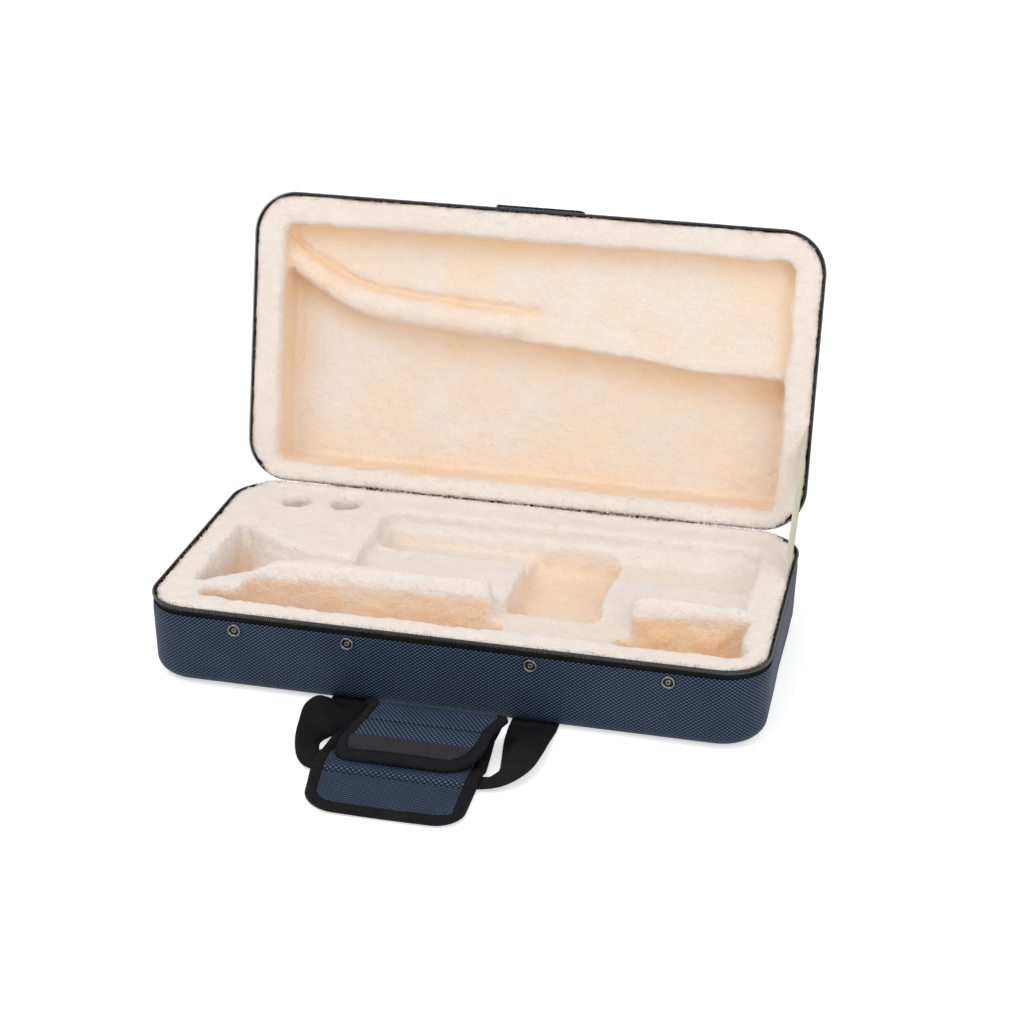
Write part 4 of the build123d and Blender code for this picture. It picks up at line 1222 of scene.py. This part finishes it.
def flap_strip(a, b, height):
    """Place on the upper flap's strip, which fills its width behind the front edge tape."""
    t = UPPER_LENGTH - BIND_WIDTH - 13 + a * 14
    left = -WRAP_HALF + corner_drop(t + 6, UPPER_LENGTH, UPPER_CORNERS[0]) + 6
    right = WRAP_HALF - corner_drop(t + 6, UPPER_LENGTH, UPPER_CORNERS[1]) - 6
    return flap_point("upper", left + (right - left) * b, t, PAD / 2 + 0.1 + height)


fuzzy("flap_strip", flap_strip, 14, 96, 1.0, "upper_flap", "upper_flap_fastener")

# ---------------------------------------------------------------- patch and strip on the lid's front wall
PATCH_HALF = 43.0
PATCH_FROM = 14.5
PATCH_WIDTH = 24.0
PATCH_THICKNESS = 1.8


def patch_place(x, along, height):
    """Point over the lid's front wall, along mm past the patch's near edge."""
    depth = PATCH_FROM + along
    return place("lid", (x, -(HALF_WIDTH - drawn_in("lid", depth)) - height, depth))


def patch():
    """Stitched fabric patch with soft edges."""
    rows, columns = 13, 45
    points, uv = [], []
    for top in (1, 0):
        for a in np.linspace(0, 1, rows):
            for b in np.linspace(-1, 1, columns):
                round_off = 1 - 0.10 * smoothstep(0.3, 0.5, abs(a - 0.5)) ** 2
                x = b * PATCH_HALF * round_off
                edge = min(min(a, 1 - a) * PATCH_WIDTH, (1 - abs(b)) * PATCH_HALF) / 2
                height = PATCH_THICKNESS * (0.35 + 0.65 * smoothstep(0, 1, edge)) if top else -1.0
                points.append(patch_place(x, a * PATCH_WIDTH, height))
                uv.append((x, a * PATCH_WIDTH))
    obj = make_mesh("lid_patch", points, slab_faces(rows, columns), navy, uv)
    fix_normals(obj)
    dress(obj, "lid", "navy_weave", "lid_fastener_patch")


def lid_strip(a, b, height):
    x = (2 * b - 1) * (PATCH_HALF - 1.5)
    return patch_place(x, 1.5 + a * (PATCH_WIDTH - 3), PATCH_THICKNESS - 0.2 + height)


patch()
fuzzy("lid_strip", lid_strip, 24, 90, 1.3, "lid", "lid_fastener_strip")

# ---------------------------------------------------------------- camera, light and floor
AZIMUTH, ELEVATION, ROLL = radians(12.67), radians(24.33), radians(0.73)


def add_camera():
    """The photograph's own view, fitted to the case's edges."""
    data = bpy.data.cameras.new("camera")
    data.lens = 76.06
    data.sensor_width = 36.0
    camera = add_object("camera", data)
    back = Vector((sin(AZIMUTH) * cos(ELEVATION), -cos(AZIMUTH) * cos(ELEVATION), sin(ELEVATION)))
    right = Vector((cos(AZIMUTH), sin(AZIMUTH), 0))
    up = back.cross(right)
    rolled_right = right * cos(ROLL) + up * sin(ROLL)
    rolled_up = up * cos(ROLL) - right * sin(ROLL)
    turn = Matrix((rolled_right, rolled_up, back)).transposed()
    target = Vector((28.06, -4.35, 139.34)) * MM
    camera.matrix_world = Matrix.Translation(target + back * 1.95929) @ turn.to_4x4()
    bpy.context.scene.camera = camera


def add_lamp(name, place_at, size, power):
    """Soft box that looks at the case's middle."""
    data = bpy.data.lights.new(name, "AREA")
    data.shape = "RECTANGLE"
    data.size, data.size_y = size
    data.energy = power
    lamp = add_object(name, data)
    lamp.location = place_at
    lamp.rotation_euler = (Vector((0.0, 0.0, 0.1)) - Vector(place_at)).to_track_quat("-Z", "Y").to_euler()


def add_floor():
    """White ground that glows a little, so that it melts into the background."""
    mesh = bpy.data.meshes.new("floor")
    reach = 6.0
    corners = [(-reach, -reach), (reach, -reach), (reach, reach), (-reach, reach)]
    mesh.from_pydata([(x, y, -0.0004) for x, y in corners], [], [(0, 1, 2, 3)])
    floor = add_object("floor", mesh)
    look = Look("floor", 0.9, Base_Color=(0.86, 0.86, 0.86), Specular_IOR_Level=0.1)
    paths = look.add("LightPath")
    glow = look.sum("MAXIMUM", paths.outputs["Is Camera Ray"], paths.outputs["Is Glossy Ray"])
    look.set(Emission_Color=(1.0, 1.0, 1.0))
    look.set(Emission_Strength=look.sum("MULTIPLY", glow, 0.50))
    mesh.materials.append(look.material)


def add_world():
    """Even light from all round, which the camera and glossy rays see as plain white."""
    world = bpy.data.worlds.new("studio")
    bpy.context.scene.world = world
    world.use_nodes = True
    tree = world.node_tree
    background = tree.nodes["Background"]
    paths = tree.nodes.new("ShaderNodeLightPath")
    seen = tree.nodes.new("ShaderNodeMath")
    seen.operation = "MAXIMUM"
    tree.links.new(paths.outputs["Is Camera Ray"], seen.inputs[0])
    tree.links.new(paths.outputs["Is Glossy Ray"], seen.inputs[1])
    strength = tree.nodes.new("ShaderNodeMapRange")
    strength.inputs["To Min"].default_value = 0.74
    strength.inputs["To Max"].default_value = 1.0
    tree.links.new(seen.outputs[0], strength.inputs["Value"])
    tree.links.new(strength.outputs[0], background.inputs["Strength"])
    background.inputs["Color"].default_value = (1.0, 1.0, 1.0, 1.0)


bpy.context.scene.view_settings.view_transform = "Standard"
add_camera()
add_world()
add_floor()
add_lamp("key", (-0.8, -1.0, 2.1), (1.4, 1.1), 14)
add_lamp("fill", (1.3, -1.7, 1.05), (1.4, 1.2), 11.5)
